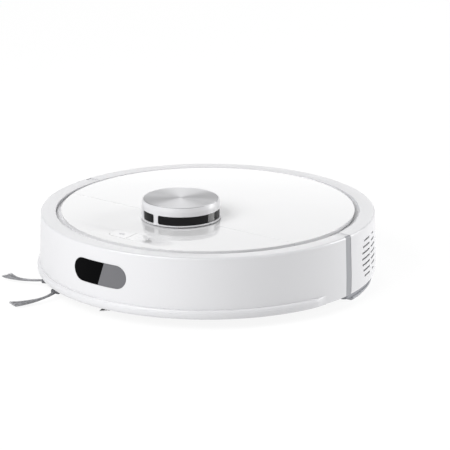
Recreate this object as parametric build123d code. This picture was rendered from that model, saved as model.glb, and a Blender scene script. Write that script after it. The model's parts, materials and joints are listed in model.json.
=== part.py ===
from build123d import *
from math import acos, asin, atan2, cos, degrees, hypot, pi, radians, sin, sqrt, tan
import os

# Robot vacuum, millimetres. The origin is the body's centre on the floor, +Z up.
# The robot drives towards -Y, so its front is -Y and its left side is +X.
# Angles named *_DEG on the round body are measured from the front towards +X.

# ---- outer body ----
WALL_R = 174.9            # side wall at its foot
WALL_TOP_R = 173.5        # side wall just below the rim
WALL_T = 2.4
UNDERSIDE_Z = 11.0        # ground clearance
SKIRT_Z = 12.2            # lower edge of the side wall
RIM_Z = 75.0              # top of the flat ring
RIM_OUT_R = 169.6
RIM_IN_R = 158.0          # ring's inner edge, also the groove's outer edge
RIM_T = 2.0
LID_R = 152.5             # top cover
LID_Z = 76.0
LID_T = 2.2
DECK_Z = 71.8             # top of the grey frame, the floor of the groove
DECK_T = 1.8
BASE_T = 2.4
BUMPER_END_DEG = 91.5
SHELL_START_DEG = 94.7
LIP_END_DEG = 81.0
BUMPER_TRAVEL = 3.5

# ---- scanning turret ----
TURRET_Y = -45.0
TURRET_BASE_R = 39.0
TURRET_CAP_R = 40.4
TURRET_FLANGE_R = 41.3
TURRET_DISC_R = 38.4
TURRET_TOP_Z = 97.2
CAP_FOOT_Z = 77.4
WINDOW_BAND_Z0, WINDOW_BAND_Z1 = 78.6, 88.0
PILLAR_DEGS = (0, 120, 240)
PILLAR_HALF_DEG = 4.0
ROTOR_R = 33.5
ROTOR_PULLEY_R = 27.0
MOTOR_PULLEY_R = 5.4
LDS_MOTOR_X = -56.0       # before the carrier is turned
LDS_TURN_DEG = 55.0
BELT_Z = 57.5

# ---- buttons ----
BUTTON_X0, BUTTON_X1 = -24.0, 22.0
BUTTON_Y0, BUTTON_Y1 = -137.5, -117.0
BUTTON_SPLIT_X_REAR, BUTTON_SPLIT_X_FRONT = 0.0, 2.4
BUTTON_GAP = 0.35

# ---- front window ----
WINDOW_LOW_DEG, WINDOW_HIGH_DEG = -12.25, 10.2
WINDOW_Z, WINDOW_H = 47.4, 24.4
WINDOW_SPLIT_TOP_X, WINDOW_SPLIT_FOOT_X = 4.8, -3.7

# ---- exhaust vents ----
VENT_TOP_Z, VENT_PITCH, VENT_ROWS, VENT_H = 61.0, 6.25, 7, 1.5
VENT_COLUMNS = ((102.6, 110.2), (111.6, 118.0))
VENT_BOW_DEG = 0.33       # how much each row's front end steps back from the middle row

# ---- drive wheels ----
WHEEL_R = 34.0
WHEEL_W = 17.0
WHEEL_X = 122.0
TYRE_T = 5.5
ARM_PIVOT_Y, ARM_PIVOT_Z = -42.0, 38.0
ARM_X0, ARM_X1 = 97.5, 111.0
PIVOT_PIN_R = 3.0
AXLE_R = 3.0
RUNNING = 0.06            # radial clearance of running fits
WELL_X0, WELL_X1 = 95.5, 134.0
WELL_Y0, WELL_Y1 = -50.0, 38.0
WELL_WALL = 1.8

# ---- caster ----
CASTER_Y = -128.0
CASTER_TRAIL = 8.0
CASTER_R = 14.0
CASTER_W = 13.0
CASTER_WELL_R = 24.0
CASTER_ROOF_Z = 34.0
CASTER_STEM_R = 4.0

# ---- main brush ----
BRUSH_Y, BRUSH_Z = -22.0, 22.5
BRUSH_R = 21.0
BRUSH_CORE_R = 9.0
BRUSH_X = 77.0
CHAMBER_X = 80.0
CHAMBER_HALF_Y = 22.2
CHAMBER_TOP_Z = 45.0
GEAR_MODULE = 0.7
GEAR_T = 5.0
BRUSH_TEETH, IDLER_TEETH, PINION_TEETH = 22, 40, 12
GEAR_X = -88.3
IDLER_DEG, PINION_DEG = 30.0, 0.0

# ---- side brush ----
SIDE_X, SIDE_Y = -82.0, -117.0
SIDE_ARMS = 5
SIDE_FIRST_DEG = 200.0
SIDE_BLOCK_R = 32.0
SIDE_TIP_R = 84.0
SIDE_HUB_R = 13.0
SIDE_SHAFT_R = 3.0

# ---- dust and water tank ----
TANK_X = 112.0
TANK_Y0 = 42.2
TANK_Z0, TANK_Z1 = 27.0, 69.4
TANK_WALL = 1.8
TANK_R = 171.4
TANK_SPLIT_X = -40.0
INLET_X, INLET_Z0, INLET_Z1 = 34.0, 31.0, 44.0
FAN_Y, FAN_Z = 68.0, 43.5
FAN_X0, FAN_X1 = 115.5, 138.0
FAN_R = 26.0
FAN_EYE_R = 12.0
LATCH_X, LATCH_Z0, LATCH_Z1 = 15.0, 41.0, 55.0
LATCH_TRAVEL = 2.0
FILLER_XY = (-80.0, 90.0)

# ---- mop ----
MOP_R = 171.0
MOP_HORN_Y = 9.0          # front ends of the two horns beside the wheels
MOP_HORN_X = 137.0
MOP_WAIST_Y = 42.0
MOP_PAD_Z0, MOP_PAD_Z1 = 0.5, 6.2
MOP_PLATE_Z1 = 10.6

# ---- battery and electronics ----
BATTERY = (30.0, 105.0, -119.5, -52.5, 14.0, 50.5)
BOARD = (54.0, 112.0, -108.0, -54.0, 58.0, 59.6)


# ------------------------------------------------------------------ helpers
def block(x0, x1, y0, y1, z0, z1):
    """Box between two corners."""
    size = (x1 - x0, y1 - y0, z1 - z0)
    return Pos((x0 + x1) / 2, (y0 + y1) / 2, (z0 + z1) / 2) * Box(*size)


def post(radius, x, y, z0, z1):
    """Upright cylinder."""
    return Pos(x, y, (z0 + z1) / 2) * Cylinder(radius, z1 - z0)


def cross_rod(radius, y, z, x0, x1):
    """Cylinder lying along X."""
    return Pos((x0 + x1) / 2, y, z) * Rot(0, 90, 0) * Cylinder(radius, x1 - x0)


def around(radius, from_front_deg):
    """Point on the round body, by radius and angle from the front."""
    a = radians(from_front_deg)
    return radius * sin(a), -radius * cos(a)


def outline(points, rounds=()):
    """Closed flat face through points; rounds is a list of (point number, radius)."""
    face = make_face(Polyline(*points, close=True))
    for number, radius in rounds:
        x, y = points[number]
        corner = face.vertices().sort_by_distance(Vector(x, y, 0))[0]
        face = fillet(corner, radius)
    return face


def turned(face, start_deg=-180.0, end_deg=180.0):
    """Turn a flat (radius, height) face about Z between two angles from the front."""
    swept = revolve(Plane.XZ * face, axis=Axis.Z, revolution_arc=end_deg - start_deg)
    return Rot(0, 0, start_deg - 90) * swept


def ring(r_in, r_out, z0, z1, start_deg=-180.0, end_deg=180.0):
    """Plain ring, or a sector of one."""
    points = [(r_in, z0), (r_out, z0), (r_out, z1), (r_in, z1)]
    return turned(outline(points), start_deg, end_deg)


def upright(face, z0, z1):
    """Extrude a flat XY face from z0 to z1."""
    return extrude(Pos(0, 0, z0) * face, amount=z1 - z0)


def across(face, x0, x1):
    """Extrude a flat face drawn as (y, z) from x0 to x1."""
    side = Plane(origin=(x0, 0, 0), x_dir=(0, 1, 0), z_dir=(1, 0, 0))
    return extrude(side * face, amount=x1 - x0)


def wall_at(z):
    """Outer radius of the side wall at a height."""
    share = min(max((z - 33.0) / (71.0 - 33.0), 0.0), 1.0)
    return WALL_R + share * (WALL_TOP_R - WALL_R)


def mirrored(shape):
    """The same piece on the robot's other side."""
    return mirror(shape, about=Plane.YZ)


def gear_turns():
    """Angles that put the brush gear, idler and pinion in mesh at rest."""
    idler = IDLER_DEG + 180 + 180 / IDLER_TEETH
    pitch = 360 / IDLER_TEETH
    offset = (PINION_DEG - idler) % pitch
    pinion = PINION_DEG + 180 + 180 / PINION_TEETH + offset * IDLER_TEETH / PINION_TEETH
    return IDLER_DEG, idler, pinion


def gear_centres():
    """(y, z) of the brush gear, idler and pinion axes."""
    near = GEAR_MODULE * (BRUSH_TEETH + IDLER_TEETH) / 2
    far = GEAR_MODULE * (IDLER_TEETH + PINION_TEETH) / 2
    idler = (BRUSH_Y + near * cos(radians(IDLER_DEG)), BRUSH_Z + near * sin(radians(IDLER_DEG)))
    pinion = (idler[0] + far * cos(radians(PINION_DEG)), idler[1] + far * sin(radians(PINION_DEG)))
    return (BRUSH_Y, BRUSH_Z), idler, pinion


def gear(teeth, turn_deg, y, z, bore_r):
    """Spur gear about X with involute flanks, one tooth pointing at turn_deg in the YZ plane."""
    pitch_r = GEAR_MODULE * teeth / 2
    base_r = pitch_r * cos(radians(20))
    tip_r = pitch_r + 0.85 * GEAR_MODULE
    root_r = pitch_r - 1.25 * GEAR_MODULE
    backlash = 0.16
    half = pi / (2 * teeth) - backlash / (2 * pitch_r) + tan(radians(20)) - radians(20)
    start_r = max(base_r, root_r)
    flank = []
    for step in range(5):
        r = start_r + (tip_r - start_r) * step / 4
        roll = sqrt(max((r / base_r) ** 2 - 1, 0))
        flank.append((r, half - (roll - atan2(roll, 1))))
    points = []
    for tooth in range(teeth):
        mid = 2 * pi * tooth / teeth + radians(turn_deg)
        rising = [(root_r, -flank[0][1])] + [(r, -a) for r, a in flank]
        falling = [(r, a) for r, a in reversed(flank)] + [(root_r, flank[0][1])]
        for r, a in rising + falling:
            points.append((r * cos(mid + a), r * sin(mid + a)))
    distinct = [p for i, p in enumerate(points) if hypot(p[0] - points[i - 1][0], p[1] - points[i - 1][1]) > 1e-4]
    face = Pos(y, z) * (outline(distinct) - Circle(bore_r))
    return across(face, GEAR_X - GEAR_T / 2, GEAR_X + GEAR_T / 2)


# ------------------------------------------------------------------ chassis
def screw_places():
    """Underside screws that hold the base to the frame above it."""
    places = [around(157.5, deg) for deg in (-80, -47, -9, 9, 47, 80)]
    return places + [around(150, deg) for deg in (128, 180, -128)]


def cliff_places():
    """Centres of the four floor sensors."""
    return [around(157.5, deg) for deg in (-66, -24, 24, 66)]


def battery_opening(inset):
    """Outline of the battery hatch in the base, drawn smaller by inset."""
    x0, x1, y0, y1 = BATTERY[:4]
    width, depth = x1 - x0 - 2 * inset + 3, y1 - y0 - 2 * inset + 3
    return Pos((x0 + x1) / 2, (y0 + y1) / 2) * RectangleRounded(width, depth, 4 - inset)


def brush_opening(inset):
    """Outline of the brush hatch in the base, drawn smaller by inset."""
    return Pos(0, BRUSH_Y) * RectangleRounded(2 * (CHAMBER_X + 3.5 - inset), 2 * (25.5 - inset), 4 - inset)


def wheel_well(side):
    """Open-bottomed box round one wheel module; side is +1 or -1."""
    x0, x1 = sorted((side * WELL_X0, side * WELL_X1))
    t = WELL_WALL
    walls = block(x0 - t, x1 + t, WELL_Y0 - t, WELL_Y1 + t, UNDERSIDE_Z, DECK_Z - DECK_T)
    return walls, block(x0, x1, WELL_Y0, WELL_Y1, UNDERSIDE_Z - 1, DECK_Z)


def arm_pin(side):
    """Fixed pivot pin of one wheel arm and the two ears that carry it."""
    ears = Part()
    for x0, x1 in ((WELL_X0 - 0.5, ARM_X0 - 0.4), (ARM_X1 + 0.4, ARM_X1 + 3.0)):
        rise = block(x0, x1, WELL_Y0 - 0.5, ARM_PIVOT_Y + 5, ARM_PIVOT_Z - 5, ARM_PIVOT_Z + 5)
        ears += rise
    pin = cross_rod(PIVOT_PIN_R, ARM_PIVOT_Y, ARM_PIVOT_Z, WELL_X0 - 0.5, ARM_X1 + 3.0)
    whole = ears + pin
    return whole if side > 0 else mirrored(whole)


def chassis_base():
    """Moulded tray: floor, rim, wheel wells, brush chamber, caster well and tank bay."""
    front = post(167.5, 0, 0, UNDERSIDE_Z, UNDERSIDE_Z + BASE_T)
    rear = post(171.3, 0, 0, UNDERSIDE_Z, UNDERSIDE_Z + BASE_T) & block(-180, 180, 17, 180, 0, 30)
    base = front + rear
    base += ring(164.5, 167.5, UNDERSIDE_Z, 66, -88, 88)
    base += ring(168.9, 171.3, UNDERSIDE_Z, 24, 96, 264)
    # tank bay: shelf, side walls and front wall
    shelf = block(-114.8, 114.8, 40.2, 170, 24.4, 26.5) & post(168.4, 0, 0, 0, 80)
    base += shelf
    for side in (-1, 1):
        x0, x1 = sorted((side * (TANK_X + 0.5), side * (TANK_X + 2.3)))
        base += block(x0, x1, 40.2, 150, UNDERSIDE_Z, DECK_Z - DECK_T) & post(168.4, 0, 0, 0, 80)
    base += block(-114.3, 114.3, 40.2, 41.8, UNDERSIDE_Z, DECK_Z - DECK_T)
    # brush chamber
    half, t = CHAMBER_HALF_Y, WELL_WALL
    base += block(-CHAMBER_X - t, CHAMBER_X + t, BRUSH_Y - half - t, BRUSH_Y + half + t,
                  UNDERSIDE_Z, CHAMBER_TOP_Z + t)
    base += block(-INLET_X - 1.6, INLET_X + 1.6, 0, 41, INLET_Z0 - 1.6, INLET_Z1 + 1.6)
    # wheel wells
    wells = [wheel_well(side) for side in (-1, 1)]
    for walls, hollow in wells:
        base += walls
    # caster well with the bore for its stem
    base += post(CASTER_WELL_R + 1.8, 0, CASTER_Y, UNDERSIDE_Z, CASTER_ROOF_Z + 2)
    base += post(8.5, 0, CASTER_Y, CASTER_ROOF_Z, 46)
    for x, y in screw_places():
        base += post(4.2, x, y, UNDERSIDE_Z, 24)
    # hollows
    base -= block(-CHAMBER_X, CHAMBER_X, BRUSH_Y - half, BRUSH_Y + half, UNDERSIDE_Z - 1, CHAMBER_TOP_Z)
    for walls, hollow in wells:
        base -= hollow
    for side in (-1, 1):
        base += arm_pin(side)
    base -= post(CASTER_WELL_R, 0, CASTER_Y, 0, CASTER_ROOF_Z)
    base -= post(CASTER_STEM_R + RUNNING, 0, CASTER_Y, 0, 60)
    base -= upright(brush_opening(0), 0, UNDERSIDE_Z + BASE_T)
    base -= upright(battery_opening(0), 0, UNDERSIDE_Z + BASE_T)
    # drive end of the main brush, and the air way to the dust bin
    base -= cross_rod(6.2, BRUSH_Y, BRUSH_Z, -CHAMBER_X - 3, -CHAMBER_X + 1)
    base -= block(-INLET_X, INLET_X, -5, 43, INLET_Z0, INLET_Z1)
    base -= cross_rod(FAN_EYE_R, FAN_Y, FAN_Z, TANK_X, TANK_X + 3)
    base -= post(7.5, SIDE_X, SIDE_Y, 0, 20)
    for x, y in screw_places():
        base -= post(3.2, x, y, 0, UNDERSIDE_Z + 1.4) + post(1.55, x, y, 0, 23)
    for x, y in cliff_places():
        base -= post(5.2, x, y, 0, 20)
    # guide slots for the bumper's two tabs
    for side in (-1, 1):
        x0, x1 = sorted((side * 117.2, side * 130.8))
        base -= block(x0, x1, -125, -95, 54.2, 58.8)
    return base


def upper_housing():
    """Grey frame plate under the top covers; its edge shows as the groove's floor."""
    z0 = DECK_Z - DECK_T
    plate = post(RIM_OUT_R - BUMPER_TRAVEL - 1.5, 0, 0, z0, DECK_Z)
    plate += post(168.6, 0, 0, z0, DECK_Z) & block(-180, 180, 17, 180, 60, 80)
    plate += ring(148.0, 149.6, z0, DECK_Z + 1.8)
    plate -= post(37.8, 0, TURRET_Y, 60, 80)
    plate -= upright(Pos((BUTTON_X0 + BUTTON_X1) / 2, (BUTTON_Y0 + BUTTON_Y1) / 2)
                     * SlotOverall(BUTTON_X1 - BUTTON_X0 - 12, 10), 60, 80)
    for deg in (20, 60, -60, -20):
        x, y = around(159.5, deg)
        plate += post(4.0, x, y, 62, z0)
    return plate


def wall_section(foot_z, foot_bevel):
    """Section of the side wall and the ring that turns over onto the top."""
    in_r, in_top_r = WALL_R - WALL_T, WALL_TOP_R - WALL_T
    points = [
        (in_r, foot_z), (WALL_R - foot_bevel, foot_z), (WALL_R, foot_z + 2.2 * foot_bevel + 0.01),
        (WALL_R, 33), (WALL_TOP_R, RIM_Z - 0.6), (RIM_OUT_R, RIM_Z + 0.3), (RIM_IN_R, RIM_Z),
        (RIM_IN_R, RIM_Z - RIM_T), (RIM_OUT_R - 2, RIM_Z - RIM_T), (in_top_r, RIM_Z - 5), (in_r, 33),
    ]
    return outline(points, [(4, 2.6), (6, 0.6)])


def rear_shell():
    """Fixed wall and ring of the rear half, with the tank's doorway and the exhaust vents."""
    shell = turned(wall_section(SKIRT_Z, 1.3), SHELL_START_DEG, 360 - SHELL_START_DEG)
    door = block(-TANK_X - 0.7, TANK_X + 0.7, 60, 180, TANK_Z0 - 0.6, TANK_Z1 + 0.6)
    shell -= door
    for low, high in VENT_COLUMNS:
        for row in range(VENT_ROWS):
            z = VENT_TOP_Z - row * VENT_PITCH
            bow = VENT_BOW_DEG * (row - 3) ** 2 / 1.5
            near, far = low + bow, high - (bow if high > 115 else 0)
            shell -= ring(168, 178, z - VENT_H / 2, z + VENT_H / 2, near, far)
    for side in (-1, 1):
        x0, x1 = sorted((side * 38, side * 54))
        shell -= block(x0, x1, 150, 180, 14.6, 24.4)
    return shell


def side_seals():
    """Soft strips that fill the two gaps between the bumper and the rear shell."""
    inset = 0.5
    points = [
        (WALL_R - WALL_T, SKIRT_Z), (WALL_R - inset, SKIRT_Z), (WALL_R - inset, 33),
        (WALL_TOP_R - inset, RIM_Z - 1.2), (RIM_OUT_R, RIM_Z - inset), (RIM_OUT_R - 2.5, RIM_Z - inset),
        (RIM_OUT_R - 2.5, RIM_Z - RIM_T), (WALL_TOP_R - WALL_T, RIM_Z - 5), (WALL_R - WALL_T, 33),
    ]
    section = outline(points, [(3, 2.4)])
    left = turned(section, BUMPER_END_DEG + 0.1, SHELL_START_DEG)
    return Compound(children=[left, mirrored(left)])


def lid_blank():
    """Round top cover before it is split in two."""
    z0 = LID_Z - LID_T
    edge = 0.6
    points = [
        (0, z0), (LID_R - 2.2, z0), (LID_R - 2.2, DECK_Z), (LID_R, DECK_Z), (LID_R, LID_Z - edge),
        (LID_R - edge, LID_Z), (0, LID_Z),
    ]
    blank = turned(outline(points))
    return blank - post(TURRET_BASE_R + 0.4, 0, TURRET_Y, 60, 90)


def button_outline(grow):
    """Rounded outline round both buttons, drawn larger by grow."""
    width, depth = BUTTON_X1 - BUTTON_X0 + 2 * grow, BUTTON_Y1 - BUTTON_Y0 + 2 * grow
    place = Pos((BUTTON_X0 + BUTTON_X1) / 2, (BUTTON_Y0 + BUTTON_Y1) / 2)
    return place * SlotOverall(width, depth)


def top_cover_front():
    """Front part of the top cover, in front of the seam through the turret's centre."""
    half = lid_blank() & block(-200, 200, -200, TURRET_Y - 0.15, 60, 90)
    return half - upright(button_outline(0.3), 60, 90)


def top_cover_rear():
    """Rear part of the top cover."""
    return lid_blank() & block(-200, 200, TURRET_Y + 0.15, 200, 60, 90)


def button(left_hand):
    """One button cap: visible face, hidden flange and the stem that presses the switch."""
    slope = (BUTTON_SPLIT_X_FRONT - BUTTON_SPLIT_X_REAR) / (BUTTON_Y0 - BUTTON_Y1)

    def half_plane(gap):
        xs = [BUTTON_SPLIT_X_REAR + slope * (y - BUTTON_Y1) for y in (-150, -100)]
        shift = gap if left_hand else -gap
        far = 60 if left_hand else -60
        points = [(xs[0] + shift, -150), (far, -150), (far, -100), (xs[1] + shift, -100)]
        return make_face(Polyline(*points, close=True))

    face = upright(button_outline(0) & half_plane(BUTTON_GAP / 2), 73.2, LID_Z + 0.2)
    flange = upright(button_outline(1.2) & half_plane(BUTTON_GAP / 2 + 0.2), 72.5, 73.4)
    x = (BUTTON_X1 if left_hand else BUTTON_X0) * 0.5
    stem = post(2.0, x, (BUTTON_Y0 + BUTTON_Y1) / 2, 63.4, 72.6)
    return face + flange + stem


# ------------------------------------------------------------------ bumper
def window_pill(shrink):
    """Pill-shaped prism of the front window, running along Y."""
    x0, x1 = around(WALL_R, WINDOW_LOW_DEG)[0] + shrink, around(WALL_R, WINDOW_HIGH_DEG)[0] - shrink
    height = WINDOW_H - 2 * shrink
    face = Pos((x0 + x1) / 2, WINDOW_Z) * SlotOverall(x1 - x0, height)
    return extrude(Plane(origin=(0, -150, 0), x_dir=(1, 0, 0), z_dir=(0, -1, 0)) * face, amount=40)


def bumper_shell():
    """Front wall and ring in one piece, with the window's opening and two guide tabs."""
    shell = turned(wall_section(SKIRT_Z, 0.6), -BUMPER_END_DEG, BUMPER_END_DEG)
    shell -= window_pill(0)
    for side in (-1, 1):
        x0, x1 = sorted((side * 118, side * 130))
        tab = block(x0, x1, -128, -103, 55, 58) & post(173.4, 0, 0, 0, 80)
        shell += tab
    return shell


def bumper_lip():
    """Softer band round the bumper's foot."""
    points = [
        (WALL_R + 0.06, SKIRT_Z - 0.2), (176.2, SKIRT_Z + 0.2), (177.6, 16.0), (178.0, 18.6),
        (176.6, 21.0), (WALL_R + 0.06, 21.4),
    ]
    section = outline(points, [(2, 3.0), (3, 1.6)])
    return turned(section, -LIP_END_DEG, LIP_END_DEG)


def window_blank():
    """Curved window before it is split into its dark and its grey part."""
    body = ring(WALL_R - WALL_T + 0.3, WALL_R - 0.25, WINDOW_Z - 14, WINDOW_Z + 14, -16, 16)
    return body & window_pill(0.12)


def window_side(dark):
    """Prism on one side of the slanted line that splits the window."""
    slope = (WINDOW_SPLIT_TOP_X - WINDOW_SPLIT_FOOT_X) / WINDOW_H
    xs = [WINDOW_SPLIT_FOOT_X + slope * (z - (WINDOW_Z - WINDOW_H / 2)) for z in (20, 80)]
    far = -60 if dark else 60
    face = make_face(Polyline((xs[0], 20), (far, 20), (far, 80), (xs[1], 80), close=True))
    return extrude(Plane(origin=(0, -150, 0), x_dir=(1, 0, 0), z_dir=(0, -1, 0)) * face, amount=40)


def front_window_dark():
    """Glossy black half of the front window."""
    return window_blank() & window_side(True)


def front_window_grey():
    """Dark grey half of the front window."""
    return window_blank() & window_side(False)


# ------------------------------------------------------------------ turret
def at_turret(shape, turn_deg=0.0):
    """Move a piece drawn about the turret's axis to its place."""
    return Pos(0, TURRET_Y, 0) * Rot(0, 0, turn_deg) * shape


def guide_places():
    """Places of the cap's three guide pins, about the turret's axis."""
    return [around(37.9, deg) for deg in (60, 180, 300)]


def turret_base():
    """Fixed collar round the turret, with three guide bores for the cap's pins."""
    collar = ring(36.4, TURRET_BASE_R, DECK_Z, LID_Z + 0.1)
    for x, y in guide_places():
        collar -= post(0.7 + RUNNING, x, y, DECK_Z - 1, 80)
    return at_turret(collar)


def turret_cap():
    """White cap that gives way when something presses on the turret."""
    r, top = TURRET_CAP_R, WINDOW_BAND_Z1
    cap = ring(37.0, TURRET_FLANGE_R, CAP_FOOT_Z, WINDOW_BAND_Z0)
    roof = [
        (0, 92.6), (37.4, 92.6), (37.4, top), (r, top), (r, 92.5), (39.2, TURRET_TOP_Z - 0.4),
        (38.6, TURRET_TOP_Z - 0.4), (38.6, 95.6), (0, 95.6),
    ]
    cap += turned(outline(roof, [(4, 3.0)]))
    for deg in PILLAR_DEGS:
        cap += ring(37.6, r - 0.1, WINDOW_BAND_Z0 - 0.4, top + 0.4, deg - PILLAR_HALF_DEG, deg + PILLAR_HALF_DEG)
    for x, y in guide_places():
        cap += post(0.7, x, y, 73.4, CAP_FOOT_Z + 0.4)
    return at_turret(cap)


def turret_window():
    """Dark clear band between the cap's pillars."""
    span = 120 - 2 * PILLAR_HALF_DEG - 0.4
    panes = []
    for deg in PILLAR_DEGS:
        start = deg + PILLAR_HALF_DEG + 0.2
        panes.append(at_turret(ring(37.8, 39.8, WINDOW_BAND_Z0 + 0.05, WINDOW_BAND_Z1 - 0.05, start, start + span)))
    return Compound(children=panes)


def turret_disc():
    """Spun aluminium disc let into the cap."""
    disc = turned(outline([(0, 95.65), (TURRET_DISC_R, 95.65), (TURRET_DISC_R, TURRET_TOP_Z),
                           (0, TURRET_TOP_Z)], [(2, 0.4)]))
    return at_turret(disc)


def lds_base():
    """Carrier of the scanner: its bearing post and the seat of its motor."""
    z0, z1 = 50.6, 53.0
    outer = make_hull((Circle(40) + Pos(LDS_MOTOR_X, 0) * Circle(14)).edges())
    plate = upright(outer, z0, z1)
    plate -= post(10.2, LDS_MOTOR_X, 0, z0 - 1, z1 + 1)
    plate += post(9.0, 0, 0, z1, 54.4) + post(6.0, 0, 0, z1, 66)
    for deg in (60, 180, 300):
        x, y = around(34, deg)
        plate += post(3.0, x, y, 47.2, z0)
    return at_turret(plate, LDS_TURN_DEG)


def lds_motor():
    """Small motor that turns the scanner through the belt."""
    can = post(10.0, LDS_MOTOR_X, 0, 34, 53.4) + post(1.0, LDS_MOTOR_X, 0, 53.4, 61.5)
    return at_turret(can, LDS_TURN_DEG)


def lds_rotor():
    """Turning head: pulley below, optics housing above, with two round sight holes."""
    points = [
        (6.0 + RUNNING, 54.8), (ROTOR_PULLEY_R + 1.2, 54.8), (ROTOR_PULLEY_R + 1.2, 55.8),
        (ROTOR_PULLEY_R, 55.8), (ROTOR_PULLEY_R, 59.2), (ROTOR_PULLEY_R + 1.2, 59.2),
        (ROTOR_PULLEY_R + 1.2, 60.2), (ROTOR_R, 63), (ROTOR_R, 88.5), (28, 90.6), (0, 90.6),
        (0, 68), (6.0 + RUNNING, 68),
    ]
    rotor = turned(outline(points, [(8, 1.5), (9, 1.0)]))
    for x in (-13, 13):
        rotor -= Pos(x, -28, 83.3) * Rot(90, 0, 0) * Cylinder(4.4, 14)
    return at_turret(rotor)


def lds_pulley():
    """Grooved pulley on the scanner motor's shaft."""
    r = MOTOR_PULLEY_R
    points = [(1.0 + RUNNING, 55.0), (r + 1.2, 55.0), (r + 1.2, 55.9), (r, 55.9), (r, 59.1),
              (r + 1.2, 59.1), (r + 1.2, 60.0), (1.0 + RUNNING, 60.0)]
    return at_turret(Pos(LDS_MOTOR_X, 0, 0) * turned(outline(points)), LDS_TURN_DEG)


def lds_belt():
    """Round-section belt drawn as one loop about both pulleys."""
    gap, thick = 0.08, 1.1

    def loop(extra):
        big, small = ROTOR_PULLEY_R + extra, MOTOR_PULLEY_R + extra
        return make_hull((Circle(big) + Pos(LDS_MOTOR_X, 0) * Circle(small)).edges())

    belt = upright(loop(gap + thick), BELT_Z - 0.7, BELT_Z + 0.7) - upright(loop(gap), 50, 70)
    return at_turret(belt, LDS_TURN_DEG)


# ------------------------------------------------------------------ wheels
def wheel_arm():
    """Left gearbox arm between the pivot and the wheel's axle."""
    pivot = Pos(ARM_PIVOT_Y, ARM_PIVOT_Z) * Circle(6.4)
    end = Pos(0, WHEEL_R) * Circle(17.5)
    arm = across(make_hull((pivot + end).edges()), ARM_X0, ARM_X1)
    arm = fillet(arm.faces().sort_by(Axis.X)[0].edges(), 1.6)
    arm -= cross_rod(PIVOT_PIN_R + RUNNING, ARM_PIVOT_Y, ARM_PIVOT_Z, 90, 120)
    arm -= cross_rod(AXLE_R + RUNNING, 0, WHEEL_R, ARM_X0 + 4, 120)
    return arm


def wheel_axle():
    """Steel half-shaft of the left wheel."""
    return cross_rod(AXLE_R, 0, WHEEL_R, ARM_X0 + 4.6, WHEEL_X + WHEEL_W / 2 - 2)


def wheel_hub():
    """Left wheel's rim with six spokes."""
    x0, x1 = WHEEL_X - WHEEL_W / 2 + 0.6, WHEEL_X + WHEEL_W / 2 - 0.6
    rim_r = WHEEL_R - TYRE_T
    hub = cross_rod(rim_r, 0, WHEEL_R, x0, x1) - cross_rod(rim_r - 3, 0, WHEEL_R, x0 - 1, x1 + 1)
    hub += cross_rod(8, 0, WHEEL_R, x0, x1)
    hub += cross_rod(rim_r - 1, 0, WHEEL_R, WHEEL_X - 1.5, WHEEL_X + 1.5)
    for spoke in range(6):
        rib = block(x0 + 2, x1 - 2, 6, rim_r - 1.5, -1.3, 1.3)
        hub += Pos(0, 0, WHEEL_R) * Rot(60 * spoke, 0, 0) * rib
    return hub - cross_rod(AXLE_R, 0, WHEEL_R, x0 - 1, WHEEL_X + WHEEL_W / 2 - 2)


def wheel_tyre():
    """Left tyre with cross lugs."""
    x0, x1 = WHEEL_X - WHEEL_W / 2, WHEEL_X + WHEEL_W / 2
    rim_r = WHEEL_R - TYRE_T
    tyre = cross_rod(WHEEL_R - 1.8, 0, WHEEL_R, x0, x1) - cross_rod(rim_r, 0, WHEEL_R, x0 - 1, x1 + 1)
    lugs = 24
    for lug in range(lugs):
        bar = block(x0 + 0.8, x1 - 0.8, -2.2, 2.2, WHEEL_R - 3, WHEEL_R) & cross_rod(WHEEL_R, 0, 0, x0, x1)
        tyre += Pos(0, 0, WHEEL_R) * Rot(360 / lugs * (lug + 0.5 * (lugs % 2)), 0, 0) * bar
    return tyre


# ------------------------------------------------------------------ caster
def caster_fork():
    """Swivelling fork with its stem."""
    fork = post(19.5, 0, CASTER_Y, 31.0, CASTER_ROOF_Z - 0.6) + post(CASTER_STEM_R, 0, CASTER_Y, 31, 44.5)
    y = CASTER_Y + CASTER_TRAIL
    for side in (-1, 1):
        x0, x1 = sorted((side * (CASTER_W / 2 + 0.5), side * (CASTER_W / 2 + 3)))
        cheek = make_hull((Pos(y, CASTER_R) * Circle(4.5) + Pos(CASTER_Y + 3, 31) * Circle(9)).edges())
        fork += across(cheek, x0, x1) & post(19.5, 0, CASTER_Y, 0, CASTER_ROOF_Z - 0.6)
    return fork - cross_rod(2.0 + RUNNING, y, CASTER_R, -20, 20)


def caster_wheel():
    """Small crowned wheel of the caster with its two stub axles."""
    x, y = CASTER_W / 2, CASTER_Y + CASTER_TRAIL
    points = [(0, -x), (CASTER_R - 1.2, -x), (CASTER_R, -3), (CASTER_R, 3), (CASTER_R - 1.2, x), (0, x)]
    wheel = turned(outline(points, [(1, 1.2), (2, 3.0), (3, 3.0), (4, 1.2)]))
    return Pos(0, y, CASTER_R) * Rot(0, 90, 0) * wheel + cross_rod(2.0, y, CASTER_R, -x - 2.8, x + 2.8)


# ------------------------------------------------------------------ main brush
def brush_core():
    """Stiff core of the main brush with its drive stub and bearing stub."""
    core = cross_rod(BRUSH_CORE_R, BRUSH_Y, BRUSH_Z, -BRUSH_X, BRUSH_X)
    core += cross_rod(4.0, BRUSH_Y, BRUSH_Z, BRUSH_X, CHAMBER_X - 0.4)
    core += cross_rod(4.0, BRUSH_Y, BRUSH_Z, GEAR_X + GEAR_T / 2 + 0.02, -BRUSH_X)
    for side in (-1, 1):
        x0, x1 = sorted((side * (BRUSH_X - 2), side * BRUSH_X))
        core += cross_rod(13.0, BRUSH_Y, BRUSH_Z, x0, x1)
    return core


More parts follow.
